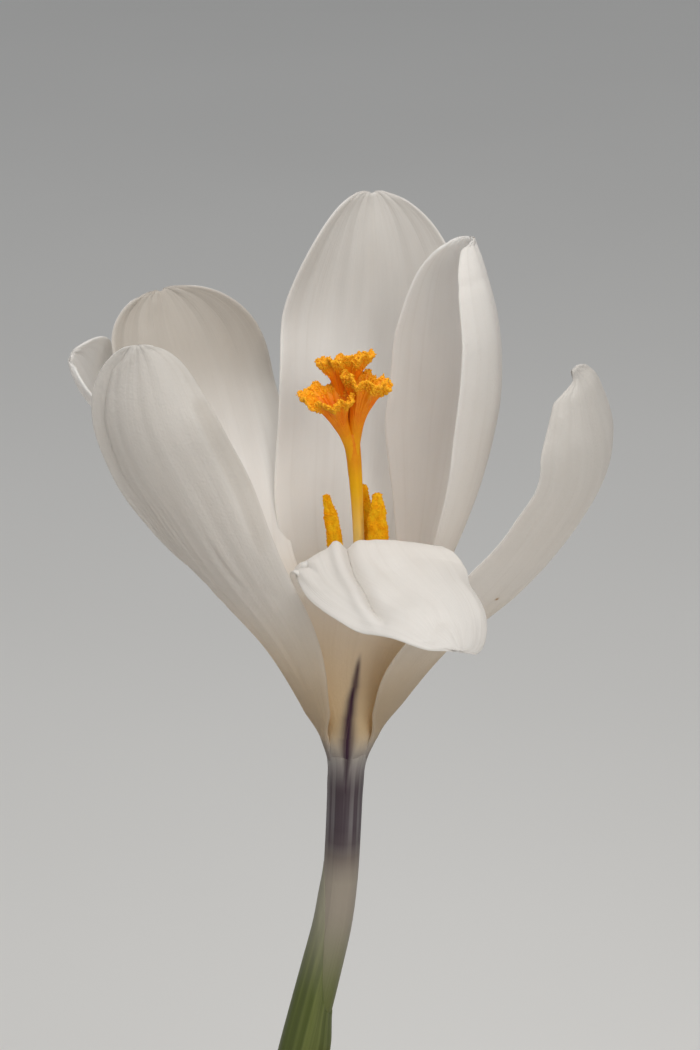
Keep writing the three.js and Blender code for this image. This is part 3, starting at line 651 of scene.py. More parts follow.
def tepal(name, shape, seed):
    """One tepal: the curled sheet with ribs and folds, its claw seated on the throat."""
    rows, cols = 190, 112
    p, u, v, half = sheet({**USUAL, **shape}, rows, cols)
    half = np.broadcast_to(half, u.shape)
    n = normals(p)
    length = np.linalg.norm(np.diff(p[:, cols // 2], axis=0), axis=1).sum()
    broad, fine = waves(seed, 14, 0.2, 0.6), waves(seed + 1, 18, 1.0, 2.2)
    ribs = sum(np.sin(TAU * (k * v + 0.13 * k + 0.5 * np.sin(3 * u + k))) for k in (1.7, 2.9, 4.3))
    body = ramp(u, 0.06, 0.3)
    rib = 0.009 if name == "front" else 0.02
    lift = body * (0.13 * broad(p) + 0.014 * fine(p) + rib * ribs * (1 - 0.5 * np.abs(v)))
    lift += 0.08 * np.exp(-((v / 0.07) ** 2)) * (1 - ramp(u, 0.5, 0.85)) * body
    lift += fold_height(u, v, half, length, FOLDS.get(name, ()))
    if name == "left_front":
        window = ramp(u, 0.34, 0.44) * (1 - ramp(u, 0.6, 0.74)) * (1 - ramp(v, -0.45, -0.1))
        lift += 0.045 * window * np.sin(TAU * v * half / 0.62 + 2.5 * np.sin(9 * u))
    p = p + n * lift[..., None]
    if name in NOTCHES:
        spot, width, depth = NOTCHES[name]
        dip = depth * np.exp(-(((v - spot) * half / width) ** 2)) * ramp(u, 0.955, 1)
        p = p - unit(np.gradient(p, axis=0)) * dip[..., None]
    p = claw_root(seat(p, v, FEET[name]), v, FEET[name])
    extra = len(p) - len(u)
    u = np.concatenate([np.linspace(-0.12, -0.01, extra)[:, None] + np.zeros_like(u[:extra]), u])
    v = np.concatenate([v[:extra], v])
    half = np.concatenate([np.repeat(half[:1], extra, axis=0), half])
    edge = np.clip((1 - np.abs(v)) * half / ROUNDING, 0, 1)
    tip = np.clip((1 - u) * length / ROUNDING, 0, 1)
    thick = EDGE + (BLADE - 0.1 * np.abs(v) ** 4) * np.sqrt(edge * (2 - edge)) * np.sqrt(tip * (2 - tip))
    points, faces = shell(p, thick)
    z = p[..., 2]
    glow = (1 - ramp(z, 1, 17)) * 0.8 * ramp(z, -3.2, 1.2)
    stain = 0.95 * (1 - ramp(z, -5.5, 0.8))
    # Painted shade: the lower part of each tepal, mostly its outer face, darkened beige-grey, strongest on the two
    # front outer tepals.
    painted_shade = (1 - ramp(z, 2, 16)) * (0.9 if name in ("left_front", "right_front") else 0.35)
    if name == "left_front":
        # Painted shade on the strip beside the right margin of the left front tepal, which bends away from the
        # light.
        strip = ramp(v, 0.62, 0.74) * (1 - 0.6 * ramp(v, 0.95, 1))
        painted_shade = np.maximum(painted_shade, 0.75 * strip * ramp(u, 0.4, 0.55) * (1 - ramp(u, 0.85, 0.95)))
    if name == "front":
        away = (v - np.interp(u, STRIPE_U, STRIPE_V)) * np.maximum(half, 2.4)
        away = away / np.interp(u, STRIPE_U, STRIPE_WIDTH)
        stain = np.maximum(stain, np.exp(-(away**2)) * (1 - ramp(u, 0.16, 0.21)))
        # Painted shade: the front claw darkened strongly where it goes down into the throat, and less above.
        painted_shade = np.maximum(painted_shade * 0.3, 0.85 * (1 - ramp(z, -2.6, 0.8)))
    # Painted highlight: the rim mask lightens the margins as if they caught the light.
    rim = ramp((1 - np.abs(v)) * half, 0.55, 0.1)
    speck = np.hypot((u - SPECK["u"]) * length, (v - SPECK["v"]) * half) / SPECK["radius"]
    pollen = np.exp(-(speck**4)) * (name == SPECK["on"])
    # Painted shade on the upper inner face (SHADE) and on the whole outer face (OUTER_SHADE).
    upper = SHADE.get(name, 0) * ramp(u, *SHADE_FROM.get(name, (0.6, 0.88)))
    masks = {
        "glow": both(glow * (1.0 if name == "front" else 0.8), glow * 0.9),
        "painted_shade": both(np.maximum(painted_shade, OUTER_SHADE.get(name, 0)), np.maximum(painted_shade * 0.1, upper)),
        "stain": both(stain),
        "rim": both(rim),
        "outer": both(np.ones(z.size), np.zeros(z.size)),
        "pollen": both(pollen),
    }
    uv = np.stack([both(v * 0.5), both(u)], -1)
    make("petal_" + name, points + THROAT, faces, TEPAL, ("tepal_" + name,), uv, masks)


for order, (name, shape) in enumerate(TEPALS.items()):
    tepal(name, shape, 10 * order + 5)

# ---- shoot

CORM_TOP = 56.0
SHOOT_Z = [56.3, 66, 76, 82, 88, 94, 100.8, 107.1, 111.3, 115.5, 119.6, 125.8, 130]
SHOOT_X = [0, 0, 0, 0.15, 0.75, 1.9, 3.45, 4.85, 5.7, 6.2, 6.45, 6.72, 7.0]
SHOOT_BASE = SHOOT_Z[0]
SOIL_LEVEL = 67.0


def shoot(z):
    """Centre line of the shoot at height z."""
    z = np.asarray(z, float)
    xs, zs = np.array(SHOOT_X), np.array(SHOOT_Z)
    last = len(zs) - 1
    low, high = np.maximum(np.arange(last + 1) - 1, 0), np.minimum(np.arange(last + 1) + 1, last)
    slopes = (xs[high] - xs[low]) / (zs[high] - zs[low])
    i = np.clip(np.searchsorted(zs, z, side="left") - 1, 0, last - 1)
    w = zs[i + 1] - zs[i]
    s = np.clip((z - zs[i]) / w, 0, 1)
    x = (
        xs[i] * (1 + 2 * s) * (1 - s) ** 2
        + w * slopes[i] * s * (1 - s) ** 2
        + xs[i + 1] * s * s * (3 - 2 * s)
        + w * slopes[i + 1] * s * s * (s - 1)
    )
    return np.stack([x, np.zeros_like(x), z], -1)


def surface_uv(points, axis_of):
    """Angle round a path and height along it, as grain coordinates."""
    c = axis_of(points[:, 2])
    a = np.arctan2(points[:, 1] - c[:, 1], points[:, 0] - c[:, 0])
    return np.stack([np.abs(a) / TAU, points[:, 2] / 60], -1)


def band_stain(rise):
    """Share of purple in the band below the throat."""
    return 0.95 * ramp(rise, -14.6, -9.6) * (1 - ramp(rise, -5.5, 0.8))


def tube_skin(z):
    """Radius of the tube at height z."""
    rise = z - THROAT[2]
    return funnel(rise) + 0.03 + 0.08 * (1 - ramp(rise, -5, -3)) - 0.12 * ramp(rise, -2.2, -1.2)


def perianth_tube():
    """The flower's pale tube with its purple band, hollow at the throat."""
    heights = np.concatenate([np.linspace(SHOOT_BASE, 121, 50), np.linspace(121.5, 128.8, 32)])

    def ridged(z):
        return lambda a: (z, tube_skin(z) * (1 + 0.012 * np.sin(6 * a + 0.4)))

    stations = [(SHOOT_BASE, 0.0)] + [ridged(z) for z in heights]
    stations += [(128.85, 1.6), (128.4, 1.3), (127, 1.0), (124, 0.95), (123.5, 0.0)]
    points, faces = turned(shoot, stations, 72)
    rise = points[:, 2] - THROAT[2]
    c = shoot(points[:, 2])
    a = np.arctan2(points[:, 1], points[:, 0] - c[:, 0])
    lines = ((-1.57, 1.0), (0.52, 0.6), (2.6, 0.6))
    stripe = sum(w * np.exp(-((np.sin((a - b) / 2) * 8) ** 2)) for b, w in lines)
    masks = {
        "glow": 0.8 * ramp(rise, -3.2, 1.2),
        # Painted shade: the tube darkened beige-grey near the throat and strongly low down.
        "painted_shade": 0.85 * ramp(rise, -9, -3) + 1.5 * (1 - ramp(rise, -12, -8)),
        "stain": np.maximum(band_stain(rise), stripe * ramp(rise, -9, -5)),
        "green": 1 - ramp(rise, -27, -16),
    }
    make("flower_tube", points, faces, TUBE, ("perianth_tube",), surface_uv(points, shoot), masks)


BRACT_Z = [60, 94, 100, 103.6, 106.5, 109, 112, 115, 118]
BRACT_R = [2.36, 2.36, 2.3, 2.2, 2.1, 2.0, 1.87, 1.77, 1.68]


def bract():
    """Green sleeve round the shoot, with its mouth drawn up to a point on one side."""
    tip, split, low = THROAT[2] - 12.5, THROAT[2] - 27, SHOOT_BASE + 3
    mouth = lambda a: split + (tip - split) * ((1 - np.cos(a)) / 2) ** 2.2
    rib = lambda a, z: 1 + 0.02 * np.sin(5 * a + 0.1 * z) + 0.012 * np.sin(11 * a)

    def place(share, thinner):
        def station(a):
            z = low + (mouth(a) - low) * share
            snug = tube_skin(z) + 0.02
            full = np.interp(z, BRACT_Z, BRACT_R) * rib(a, z)
            return z, snug + (full - snug) * ramp(mouth(a) - z, -0.6, 4) - thinner

        return station

    shares = np.concatenate([np.linspace(0, 0.6, 20), np.linspace(0.62, 0.995, 40)])
    stations = [place(s, 0.0) for s in shares] + [place(1, 0.1)] + [place(s, 0.2) for s in shares[::-1]]
    points, faces = turned(shoot, stations, 72)
    rise = points[:, 2] - THROAT[2]
    masks = {"pale": ramp(rise, -26, -15)}
    make("green_bract", points, faces, BRACT, ("bract",), surface_uv(points, shoot), masks)


def papery_sheath():
    """Thin torn sleeve at the soil."""
    torn = lambda a: (
        76 + 2.0 * np.cos(a - 2.4) + 0.7 * np.sin(4 * a + 0.6) + 0.3 * np.sin(11 * a + 1) * np.sin(2.5 * a)
    )
    low = CORM_TOP + 3.3
    pleat = lambda a, share: 0.11 * np.sin(5 * a + 1.6 * share) * np.sin(3 * a) + 0.03 * np.sin(23 * a + 5 * share)
    place = lambda share, r: lambda a: (low + (torn(a) - low) * share, r - 0.15 + pleat(a, share))
    shares = np.linspace(0, 0.985, 26)
    stations = [place(s, 5.05 - 0.38 * s**3) for s in shares] + [place(s, 4.8 - 0.3 * s**3) for s in shares[::-1]]
    upright = lambda z: np.stack([np.zeros_like(z), np.zeros_like(z), z], -1)
    points, faces = turned(upright, stations, 120)
    make("papery_sheath", points, faces, SHEATH, ("sheath",), surface_uv(points, upright))


perianth_tube()
bract()
papery_sheath()

# ---- leaves

LEAF_R = 3.35
LEAVES = {
    "right": {"azimuth": 22, "out": 29, "rise": 22, "lean": 4, "turn": 12},
    "back": {"azimuth": 112, "out": 25, "rise": 19, "lean": -5, "turn": -18},
    "left": {"azimuth": 196, "out": 30, "rise": 29, "lean": 3, "turn": 15},
    "front": {"azimuth": 286, "out": 24, "rise": 31, "lean": -4, "turn": -10},
}


def leaf(name, azimuth, out, rise, lean, turn):
    """One arched leaf, from its root in the soil to its tip at out, lean and 0.86 rise."""
    bow = [(0, 0, -6), (0, 0, 1), (0, 0, 7), (0.5, 0, 13)]
    bow += [(out * 0.25, lean * 0.25, rise * 0.78), (out * 0.62, lean * 0.6, rise), (out, lean, rise * 0.86)]
    curl = [26, 26, 16, 12]
    shape = dict(
        azimuth=azimuth, midrib=[[LEAF_R + x, y, z] for x, y, z in bow],
        claw=1.5, widest=2.3, peak=0.55, fill=1, blunt=1.5, point=0.12,
        bend_stops=[0, 0.3, 0.6, 1], left=curl, right=curl, stops=[0, 1], twist=[0, turn], wave=0, phase=0,
    )
    p, u, v, half = sheet(shape, 110, 24)
    n = normals(p)
    keel = 0.22 * np.exp(-((v / 0.2) ** 2)) - 0.1 * np.exp(-(((np.abs(v) - 0.5) / 0.2) ** 2))
    p = p - n * (keel * ramp(1 - u, 0, 0.2))[..., None]
    points, faces = shell(p, 0.42 - 0.2 * np.abs(v) ** 3)
    points = points + np.array([0, 0, SOIL_LEVEL])
    stripe = np.exp(-((v / 0.17) ** 4)) * ramp(1 - u, 0.02, 0.1) * 0.85
    masks = {"stripe": both(stripe), "pale": both(1 - ramp(u, 0.16, 0.36))}
    uv = np.stack([both(v * 0.5), both(u)], -1)
    make("blade_" + name, points, faces, LEAF, ("leaf_" + name,), uv, masks)


for name, facts in LEAVES.items():
    leaf(name, **facts)

# ---- stamens

STAMENS = {
    "left": ([[-2, -0.8, 4.6], [-1.5, -0.9, 8.4], [-1.2, -1, 13.4], [-1.24, -1, 18.4], [-2, -1, 22.6]], 0.66),
    "right": ([[1.5, -0.5, 4.6], [2.2, -0.9, 8.6], [2.5, -1.1, 13.6], [2.5, -1.1, 18.4], [2.42, -1.1, 22.8]], 0.92),
    "back": ([[0.6, 2.2, 4.2], [0.9, 1.9, 8], [1.3, 1.8, 13], [1.35, 1.8, 18], [1.3, 1.7, 22.6]], 0.7),
}
# Where the anther starts along a stamen, the filament's radius, and the number and size of the grains.
ANTHER_FROM, FILAMENT_R, GRAINS, GRAIN_SIZE = 0.42, 0.3, 1100, 0.062


def random_turn(rng):
    """A turn in space, without a mirror."""
    turn = np.linalg.qr(rng.normal(size=(3, 3)))[0]
    if np.linalg.det(turn) < 0:
        turn[:, 0] *= -1
    return turn


def grains_on(points, faces, count, size, seed, floor):
    """Small rounded grains set on a surface above the height of the floor: points and faces."""
    rng = np.random.default_rng(seed)
    tri = np.array([f[:3] for f in faces])
    a, b, c = points[tri[:, 0]], points[tri[:, 1]], points[tri[:, 2]]
    cross = np.cross(b - a, c - a)
    normal, area = unit(cross), np.linalg.norm(cross, axis=1)
    keep = np.flatnonzero(points[tri].mean(1)[:, 2] > floor)
    pick = rng.choice(keep, count, p=area[keep] / area[keep].sum())
    quarters = [(1, 0), (0, 1), (-1, 0), (0, -1)]
    ball = [[0, 0, 1]] + [[0.85 * x, 0.85 * y, 0.3] for x, y in quarters]
    ball = np.array(ball + [[0.6 * (x - y), 0.6 * (x + y), -0.6] for x, y in quarters])
    skin = [[5, 8, 7, 6]]
    for k in range(4):
        m, low = (k + 1) % 4, (k - 1) % 4
        skin += [[0, 1 + k, 1 + m], [1 + k, 5 + k, 1 + m], [1 + k, 5 + low, 5 + k]]
    out_points, out_faces = [], []
    for k, t in enumerate(pick):
        w = rng.dirichlet([1, 1, 1])
        spot = w @ points[tri[t]]
        s = size * rng.uniform(0.7, 1.25)
        out_points.append(spot + normal[t] * s * 0.4 + (ball @ random_turn(rng).T) * s)
        out_faces += shifted(skin, 9 * k)
    return np.concatenate(out_points), out_faces


def stamen(name, points_of, width, seed):
    """A filament with its two-lobed anther, which is crowded with pollen grains."""
    path = curve([np.array(p) + THROAT for p in points_of])
    along = lambda t: ANTHER_FROM + (1 - ANTHER_FROM) * t
    swell = lambda t: width * math.sin(math.pi * min(max(0.05 + 0.92 * t, 0), 1)) ** 0.45
    lobes = lambda a: (1 - 0.26 * np.abs(np.sin(a)) ** 8) / np.hypot(np.cos(a), 1.75 * np.sin(a))
    bumps = waves(seed, 16, 3, 7)
    stations = [(0.0, 0.0)] + [(s, FILAMENT_R) for s in (0.0, 0.1, 0.2, 0.3)]
    stations += [(along(-0.03), 0.32)]
    for t in np.linspace(0.0, 0.985, 44):
        stations.append(lambda a, t=t: (along(t), swell(t) * lobes(a) * (1 + 0.05 * np.sin(31 * t + 3 * a))))
    stations.append((1.0, 0.0))
    points, faces = turned(path, stations, 36)
    low, high = path(ANTHER_FROM)[2], path(1.0)[2]
    t = (points[:, 2] - low) / (high - low)
    outward = unit(points - path(np.clip(along(t), 0, 1)))
    points = points + outward * (0.05 * bumps(points) * (t > 0))[:, None]
    dots, skin = grains_on(points, faces, GRAINS, GRAIN_SIZE, seed + 2, path(ANTHER_FROM + 0.02)[2])
    faces += shifted(skin, len(points))
    masks = {"pale": np.concatenate([1 - ramp(t, -0.12, 0.0), np.zeros(len(dots))])}
    points = np.concatenate([points, dots])
    make("anther_" + name, points, faces, ANTHER, ("stamen_" + name,), masks=masks)


for k, (name, (path_points, width)) in enumerate(STAMENS.items()):
    stamen(name, path_points, width, 300 + 10 * k)

# ---- style and stigma

STYLE_PATH = [
    [-0.3, 0, -5.5], [-0.06, 0, -1], [0.2, 0, 4], [0.75, 0, 10], [0.88, 0, 16], [0.65, 0, 22], [0.2, 0, 28],
]
BRANCHES = [
    {
        "path": [[0.4, 0, 25], [0.1, 0.3, 28.2], [-0.3, 0.9, 31.4], [-0.4, 1.6, 34.0]],
        "radius": 2.35, "flare": 4.2, "slant": 0.03, "low": 3.1, "phase": 0.4,
    },
    {
        "path": [[0.4, 0, 24.5], [0.5, -0.1, 27.5], [0.9, -0.2, 30.2], [1.55, -0.4, 32.8]],
        "radius": 2.05, "flare": 3.4, "slant": 0.04, "low": 1.5, "phase": 2,
    },
    {
        "path": [[0.45, 0, 24], [0.1, -0.2, 26.8], [-0.85, -0.7, 29.2], [-1.75, -1.1, 31.6]],
        "radius": 2.2, "flare": 4.6, "slant": 0.09, "low": 0, "phase": 4.1,
    },
]


def icosphere():
    """Twelve points and twenty faces of a unit ball."""
    t = (1 + 5**0.5) / 2
    points = [(-1, t, 0), (1, t, 0), (-1, -t, 0), (1, -t, 0), (0, -1, t), (0, 1, t)]
    points += [(0, -1, -t), (0, 1, -t), (t, 0, -1), (t, 0, 1), (-t, 0, -1), (-t, 0, 1)]
    skin = [[0, 11, 5], [0, 5, 1], [0, 1, 7], [0, 7, 10], [0, 10, 11], [1, 5, 9], [5, 11, 4], [11, 10, 2]]
    skin += [[10, 7, 6], [7, 1, 8], [3, 9, 4], [3, 4, 2], [3, 2, 6], [3, 6, 8], [3, 8, 9], [4, 9, 5]]
    skin += [[2, 4, 11], [6, 2, 10], [8, 6, 7], [9, 8, 1]]
    return unit(np.array(points, float)), np.array(skin)


BALL, BALL_SKIN = icosphere()


def beads_at(places, along, radius, long):
    """Rounded beads, each stretched along its own direction: points and faces."""
    helper = np.where(np.abs(along[:, 2:3]) < 0.8, [[0, 0, 1.0]], [[1.0, 0, 0]])
    e1 = unit(np.cross(along, helper))
    e2 = np.cross(along, e1)
    axes = np.stack([e1 * radius[:, None], e2 * radius[:, None], along * long[:, None]], 1)
    points = (places[:, None] + BALL @ axes).reshape(-1, 3)
    faces = (BALL_SKIN[None] + 12 * np.arange(len(places))[:, None, None]).reshape(-1, 3)
    return points, faces.tolist()


# Radius of a branch at its root, its wall there and how much thinner its rim is.
BRANCH_R, BRANCH_WALL, THINNING = 0.5, 0.42, 0.26
PAPILLAE = 2600


def branch(facts, seed):
    """One stigma branch: a ruffled funnel whose rim is crowded with papillae."""
    rng = np.random.default_rng(seed)
    base = [np.array(p, float) + THROAT for p in facts["path"]]
    path = curve(base + [2 * base[-1] - base[-2]])
    reach = (len(base) - 1) / len(base)
    n, rows = 216, 56
    a = angles(n)
    ph = facts["phase"]
    frill = 0.07 * np.cos(7 * a + ph) + 0.04 * np.cos(12 * a - ph) + 0.022 * np.cos(23 * a + 2 * ph)
    frill += 0.014 * np.cos(41 * a + ph)
    lip = 0.03 * np.sin(8 * a + ph) - facts["slant"] * np.cos(a - facts["low"]) + 0.016 * np.sin(19 * a - ph)
    grid = []
    for t in np.linspace(0, 1, rows):
        s = (t + lip * t**3) * reach
        r = (BRANCH_R + (facts["radius"] - BRANCH_R) * t ** facts["flare"]) * (1 + frill * t**4)
        tangent, side = across_path(path, s)
        front = np.cross(side, tangent)
        grid.append(path(s) + front * (r * np.cos(a))[:, None] + side * (r * np.sin(a))[:, None])
    grid = np.array(grid)
    lumps = waves(seed, 18, 2.0, 5)
    wrapped = np.concatenate([grid[:, -2:], grid, grid[:, :2]], 1)
    out = normals(wrapped)[:, 2:-2]
    t = np.linspace(0, 1, rows)[:, None]
    pleats = 0.035 * np.sin(29 * a + ph)[None, :] * t * (1 - 0.5 * t)
    grid = grid + out * (0.045 * lumps(grid) * t + pleats)[..., None]
    wall = (BRANCH_WALL - THINNING * t) * np.minimum(1, 3 * t + 0.2)
    inner = grid - out * wall[..., None]
    points = np.concatenate([grid.reshape(-1, 3), inner.reshape(-1, 3)])
    faces = grid_faces(rows, n, wrap=True, flip=True) + grid_faces(rows, n, first=rows * n, wrap=True)
    last = (rows - 1) * n
    for k in range(n):
        m = (k + 1) % n
        faces.append([last + m, last + k, last + k + rows * n, last + m + rows * n])
        faces.append([k, m, m + rows * n, k + rows * n])
    rim = np.concatenate([np.repeat(ramp(t[:, 0], 0.8, 0.97), n)] * 2)
    count = PAPILLAE
    row = rows - 1 - np.abs(rng.normal(0, 2.6, count)).astype(int).clip(0, 14)
    spot = rng.integers(0, n, count)
    outward = rng.uniform(size=count) < 0.55
    upper = np.minimum(row + 1, rows - 1)
    rise = unit(grid[upper, spot] - grid[upper - 2, spot])
    face = np.where(outward[:, None], out[row, spot], -out[row, spot])
    place = np.where(outward[:, None], grid[row, spot], inner[row, spot])
    edge = (row >= rows - 2)[:, None]
    stray = lambda spread: rng.normal(0, spread, (count, 3))
    place = np.where(edge, (grid[row, spot] + inner[row, spot]) / 2 + stray(0.05), place)
    along = unit(np.where(edge, rise + stray(0.35), face + 0.7 * rise + stray(0.3)))
    radius = rng.uniform(0.055, 0.1, count)
    beads, skin = beads_at(place + along * 0.03, along, radius, radius * rng.uniform(1.1, 2.0, count))
    faces += shifted(skin, len(points))
    bead = np.concatenate([np.zeros(len(points)), np.repeat(rng.uniform(0.15, 1, count), 12)])
    rim = np.concatenate([rim, np.ones(len(beads))])
    return np.concatenate([points, beads]), faces, rim, bead


STYLE_T = [0, 0.15, 0.3, 0.5, 0.66, 0.8, 0.92, 1]
STYLE_R = [0.5, 0.5, 0.51, 0.5, 0.47, 0.5, 0.62, 0.66]


def style_and_stigma():
    """The style and its three branches, as one piece."""
    fluting = lambda a, t: 1 + 0.05 * np.sin(5 * a + 2 * t) + 0.03 * np.sin(3 * a + 8 * t)
    stations = [(0.0, 0.0)]
    for t in np.linspace(0, 1, 90):
        stations.append(lambda a, t=t: (t, np.interp(t, STYLE_T, STYLE_R) * fluting(a, t)))
    points, faces = turned(curve([np.array(p) + THROAT for p in STYLE_PATH]), stations + [(1.0, 0.0)], 40)
    rise = (points[:, 2] - THROAT[2]) / 28
    none = np.zeros(len(points))
    parts = [(points, none, none, 1 - ramp(rise, 0.58, 0.84), 1 - ramp(rise, 0.8, 1.0))]
    count = len(points)
    for k, facts in enumerate(BRANCHES):
        p, skin, rim, bead = branch(facts, 500 + 7 * k)
        faces += shifted(skin, count)
        count += len(p)
        parts.append((p, rim, bead, np.zeros(len(p)), 0.8 * (1 - ramp(p[:, 2] - THROAT[2], 25, 30.5))))
    points, *values = map(np.concatenate, zip(*parts))
    masks = dict(zip(("rim", "bead", "pale", "golden"), values))
    make("frilled_stigma", points, faces, STIGMA, ("style_stigma",), masks=masks)


style_and_stigma()

# ---- soil

POT_HEIGHT, POT_RIM_R, POT_FOOT_R, POT_BAND, POT_STEP = 75.0, 42.0, 29.0, 17.0, 2.6
POT_WALL, POT_FLOOR, DRAIN_R = 4.2, 5.5, 6.0
SOIL_GAP, SHEATH_HOLE_R = 0.25, 5.35  # the soil's gap to the pot, and the hole that the sheath stands in
CRUMBS, CRUMB_MIN, CRUMB_MORE, GRIT_SHARE = 900, 0.35, 1.0, 0.06
CLOD_R = 2.6


def inner_r(z):
    """Radius of the pot's inner wall at height z."""
    return POT_FOOT_R - POT_WALL + (POT_RIM_R - POT_FOOT_R) * (z - POT_FLOOR) / (POT_HEIGHT - POT_FLOOR)


def clods():
    """Main lumps of the soil as x, y and height."""
    soil_r = inner_r(SOIL_LEVEL) - 0.3
    found = []
    for band, (ring, count) in enumerate([(2, 17), (5, 13), (8, 8)]):
        for k in range(count):
            sector = round((k + 0.3 * math.sin(3 * k + band)) * 48 / count)
            a = TAU * sector / 48
            r = soil_r * (0.99 - 0.76 * (ring - 1 + (5 * k + band) % 3) / 11)
            found.append((r * math.cos(a), r * math.sin(a), 1.5 * (0.85 + 0.3 * math.sin(5 * k + 2 * band))))
    return found


CLODS = clods()
ROUGH, GRAINY = waves(71, 20, 0.5, 1.3), waves(72, 24, 1.5, 3.5)


def soil_height(x, y):
    """Height of the soil's bumpy top."""
    r, a = np.hypot(x, y), np.arctan2(y, x)
    bump = 0.8 * (np.sin(0.55 * r + 3 * a) * np.cos(0.4 * r - 5 * a + 1) + 0.4 * np.sin(7 * a + r))
    lumps = sum(h * np.exp(-((x - cx) ** 2 + (y - cy) ** 2) / CLOD_R**2) for cx, cy, h in CLODS)
    q = np.stack([x, y, np.zeros_like(x)], -1)
    edge = ramp(r, 5.0, 8.0)
    return SOIL_LEVEL + (bump + lumps) * edge + 0.35 * ROUGH(q) + 0.2 * GRAINY(q) - 0.3 * (1 - edge)


def soil():
    """Bed of soil with a bumpy top, and a hole where the sheath stands."""
    n, rings, hole_r = 240, 74, SHEATH_HOLE_R
    top = np.array([circle(0, r, n) for r in np.linspace(inner_r(SOIL_LEVEL) - SOIL_GAP, hole_r, rings)])
    top[..., 2] = soil_height(top[..., 0], top[..., 1])
    low = [circle(POT_FLOOR + 0.3, r, n) for r in (0.6, inner_r(POT_FLOOR) - 2.6)]
    low += [circle(z, inner_r(z) - SOIL_GAP, n) for z in (POT_FLOOR + 3.3, 25.0, 45.0, 60.0, SOIL_LEVEL - 2)]
    hole = [circle(z, r, n) for z, r in ((SOIL_LEVEL - 3, hole_r), (60.0, hole_r), (60.0, 0.6))]
    grid = np.concatenate([low, top, hole])
    rows = len(grid)
    points = grid.reshape(-1, 3)
    faces = grid_faces(rows, n, wrap=True)
    faces.append(list(range(n))[::-1])
    faces.append([(rows - 1) * n + k for k in range(n)])
    make("soil_bed", points, faces, SOIL, ("soil",))


def crumbs():
    """Loose crumbs and a little pale grit on the soil."""
    rng = np.random.default_rng(88)
    points, faces, tone, grit = [], [], [], []
    for k in range(CRUMBS):
        r = math.sqrt(rng.uniform(6.2**2, (inner_r(SOIL_LEVEL) - 1.8) ** 2))
        a = rng.uniform(0, TAU)
        x, y = r * math.cos(a), r * math.sin(a)
        size = CRUMB_MIN + CRUMB_MORE * rng.uniform() ** 3
        shape = BALL * (1 + rng.uniform(-0.28, 0.28, (12, 1))) * rng.uniform(0.65, 1.2, 3) * size
        spin = random_turn(rng)
        z = float(soil_height(np.array([x]), np.array([y]))[0]) + 0.3 * size
        points.append(shape @ spin.T + np.array([x, y, z]))
        faces += (BALL_SKIN + 12 * k).tolist()
        tone += [rng.uniform()] * 12
        grit += [1.0 if rng.uniform() < GRIT_SHARE else 0.0] * 12
    masks = {"tone": tone, "grit": grit}
    piece = make("soil_crumbs", np.concatenate(points), faces, CRUMB, masks=masks)
    rounding = piece.modifiers.new("rounding", "SUBSURF")
    rounding.levels = rounding.render_levels = 1


soil()
crumbs()

# ---- pot


def pot():
    """Turned pot with a rim band, tool marks, small dents and a drain hole."""
    band, top, rim, low = POT_HEIGHT - POT_BAND, POT_HEIGHT, POT_RIM_R, inner_r(POT_FLOOR)
    body = lambda z: POT_FOOT_R + (rim - POT_STEP - POT_FOOT_R) * z / band
    lip = inner_r(top)
    profile = [(0, DRAIN_R), (0, POT_FOOT_R - 1.2), (0.4, POT_FOOT_R - 0.35), (1.4, body(1.4) - 0.05)]
    profile += [(z, body(z) - 0.05) for z in np.linspace(2.5, band - 0.8, 46)]
    profile += [(band - 0.25, body(band) + 0.1), (band, body(band) + 0.6), (band + 0.02, rim - 1.1)]
    profile += [(band + 0.4, rim - 0.5), (band + 1.1, rim - 0.2)]
    profile += [(z, rim - 0.06) for z in np.linspace(band + 2, top - 2.2, 16)]
    profile += [(top - 1.2, rim - 0.15), (top - 0.45, rim - 0.6), (top - 0.08, rim - 1.4)]
    profile += [(top - 0.02, rim - 2.2), (top - 0.06, lip + 0.9), (top - 0.3, lip + 0.35), (top - 0.9, lip)]
    profile += [(z, inner_r(z)) for z in np.linspace(top - 2, POT_FLOOR + 3, 30)]
    profile += [(POT_FLOOR + 0.8, low - 0.6), (POT_FLOOR, low - 2), (POT_FLOOR, DRAIN_R)]
    n = 200
    a = angles(n)
    grid = np.array([circle(z, r, n) for z, r in profile])
    z = grid[..., 2]
    turn_lines = 0.035 * np.sin(z * 2.3 + 0.3 * np.sin(a)) + 0.02 * np.sin(z * 5.7 + 0.5 * np.sin(2 * a + 1))
    dents = 0.12 * (waves(41, 16, 0.05, 0.16)(grid) - 2.2) / 2
    pits = -0.09 * np.clip(waves(42, 40, 0.8, 1.6)(grid) - 1.6, 0, 1)
    radial = grid * np.array([1, 1, 0]) / np.maximum(np.hypot(grid[..., 0], grid[..., 1]), 1)[..., None]
    walls = ramp(z, 0.3, 2) * (1 - ramp(z, POT_HEIGHT - 1.5, POT_HEIGHT - 0.5))
    grid = grid + radial * ((turn_lines + dents + pits) * walls)[..., None]
    rows = len(grid)
    points = grid.reshape(-1, 3)
    faces = grid_faces(rows, n, wrap=True)
    last = (rows - 1) * n
    faces += [[last + k, last + (k + 1) % n, (k + 1) % n, k] for k in range(n)]
    r = np.hypot(points[:, 0], points[:, 1])
    z = points[:, 2]
    edge = np.maximum(1 - np.abs(z - top) / 0.8, 1 - np.abs(z - band) / 0.6)
    masks = {"worn": np.clip(edge, 0, 1) * (r > lip), "damp": (1 - ramp(z, 0, 14)) * 0.6}
    make("terracotta_pot", points, faces, POT, ("pot",), masks=masks)


pot()
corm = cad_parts["corm"].data
corm.materials.clear()
corm.materials.append(CORM)

# ---- stage, light and camera


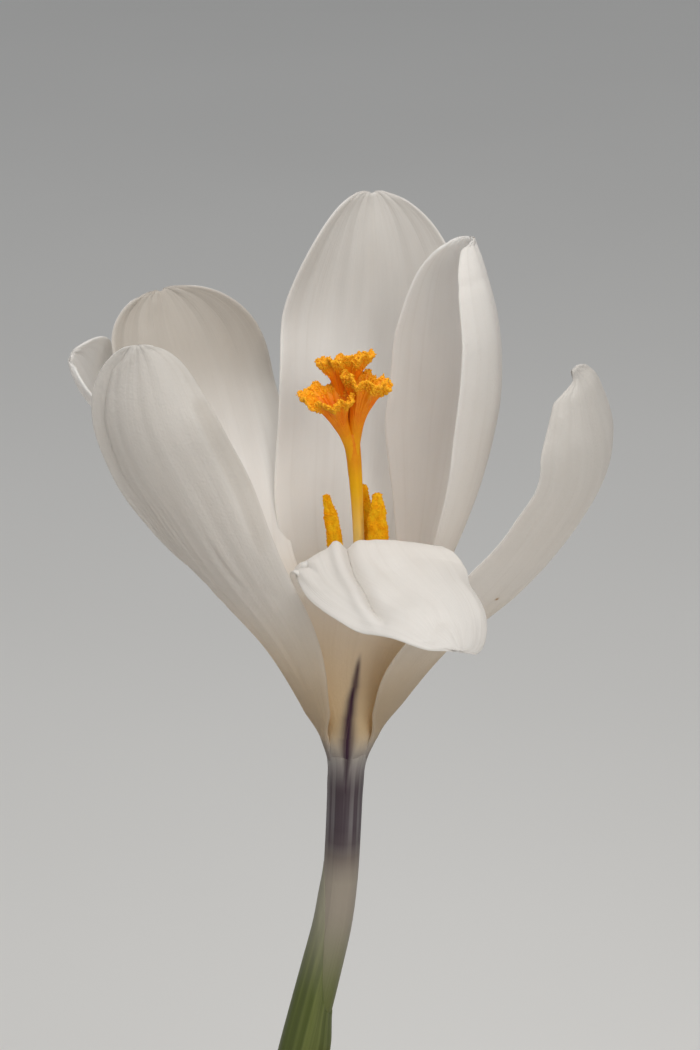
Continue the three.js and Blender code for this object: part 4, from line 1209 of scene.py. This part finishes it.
def stage_floor():
    s = Shader("pale_floor")
    base = s.tint("#eae8e4", "#eeece8", s.span(s.noise(6, 3), 0.2, 0.8))
    mesh = bpy.data.meshes.new("floor")
    far = 6.0
    mesh.from_pydata([(-far, -far, 0), (far, -far, 0), (far, far, 0), (-far, far, 0)], [], [(0, 1, 2, 3)])
    floor = bpy.data.objects.new("floor", mesh)
    mesh.materials.append(s.finish(s.solid(base, 0.9)))
    bpy.context.scene.collection.objects.link(floor)


def light(name, place, aim, size, watts, tint):
    """Round lamp at a place in metres, aimed at another."""
    data = bpy.data.lights.new(name, "AREA")
    data.shape, data.size, data.energy, data.color = "DISK", size, watts, tint
    lamp = bpy.data.objects.new(name, data)
    lamp.location = Vector(place)
    lamp.rotation_euler = (Vector(aim) - Vector(place)).to_track_quat("-Z", "Y").to_euler()
    bpy.context.scene.collection.objects.link(lamp)


stage_floor()
bpy.context.scene.view_settings.view_transform = "Standard"
BLOOM = (0.006, 0, 0.15)  # what the lamps aim at
light("top", (-0.03, -0.06, 0.58), BLOOM, 0.3, 1.45, (1.0, 0.985, 0.96))
light("front", (0.24, -0.56, 0.42), BLOOM, 0.4, 1.85, (1.0, 0.99, 0.97))
light("left", (-0.6, -0.3, 0.3), BLOOM, 0.5, 0.3, (0.97, 0.985, 1.0))

world = bpy.data.worlds.new("soft")
bpy.context.scene.world = world
world.use_nodes = True
sky = world.node_tree.nodes["Background"].inputs
sky["Color"].default_value = (0.93, 0.96, 1.0, 1)
sky["Strength"].default_value = 0.3

# Where the photo's viewer stands and looks, in metres.
EYE, AIM = Vector((0.00709, -0.3289, 0.2691)), Vector((0.00709, 0.0, 0.14943))
camera_data = bpy.data.cameras.new("camera")
camera_data.sensor_width = 36.0
camera_data.lens = 138.0
camera_data.clip_start, camera_data.clip_end = 0.01, 20.0
camera = bpy.data.objects.new("camera", camera_data)
camera.location = EYE
camera.rotation_euler = (AIM - EYE).to_track_quat("-Z", "Y").to_euler()
bpy.context.scene.collection.objects.link(camera)
bpy.context.scene.camera = camera
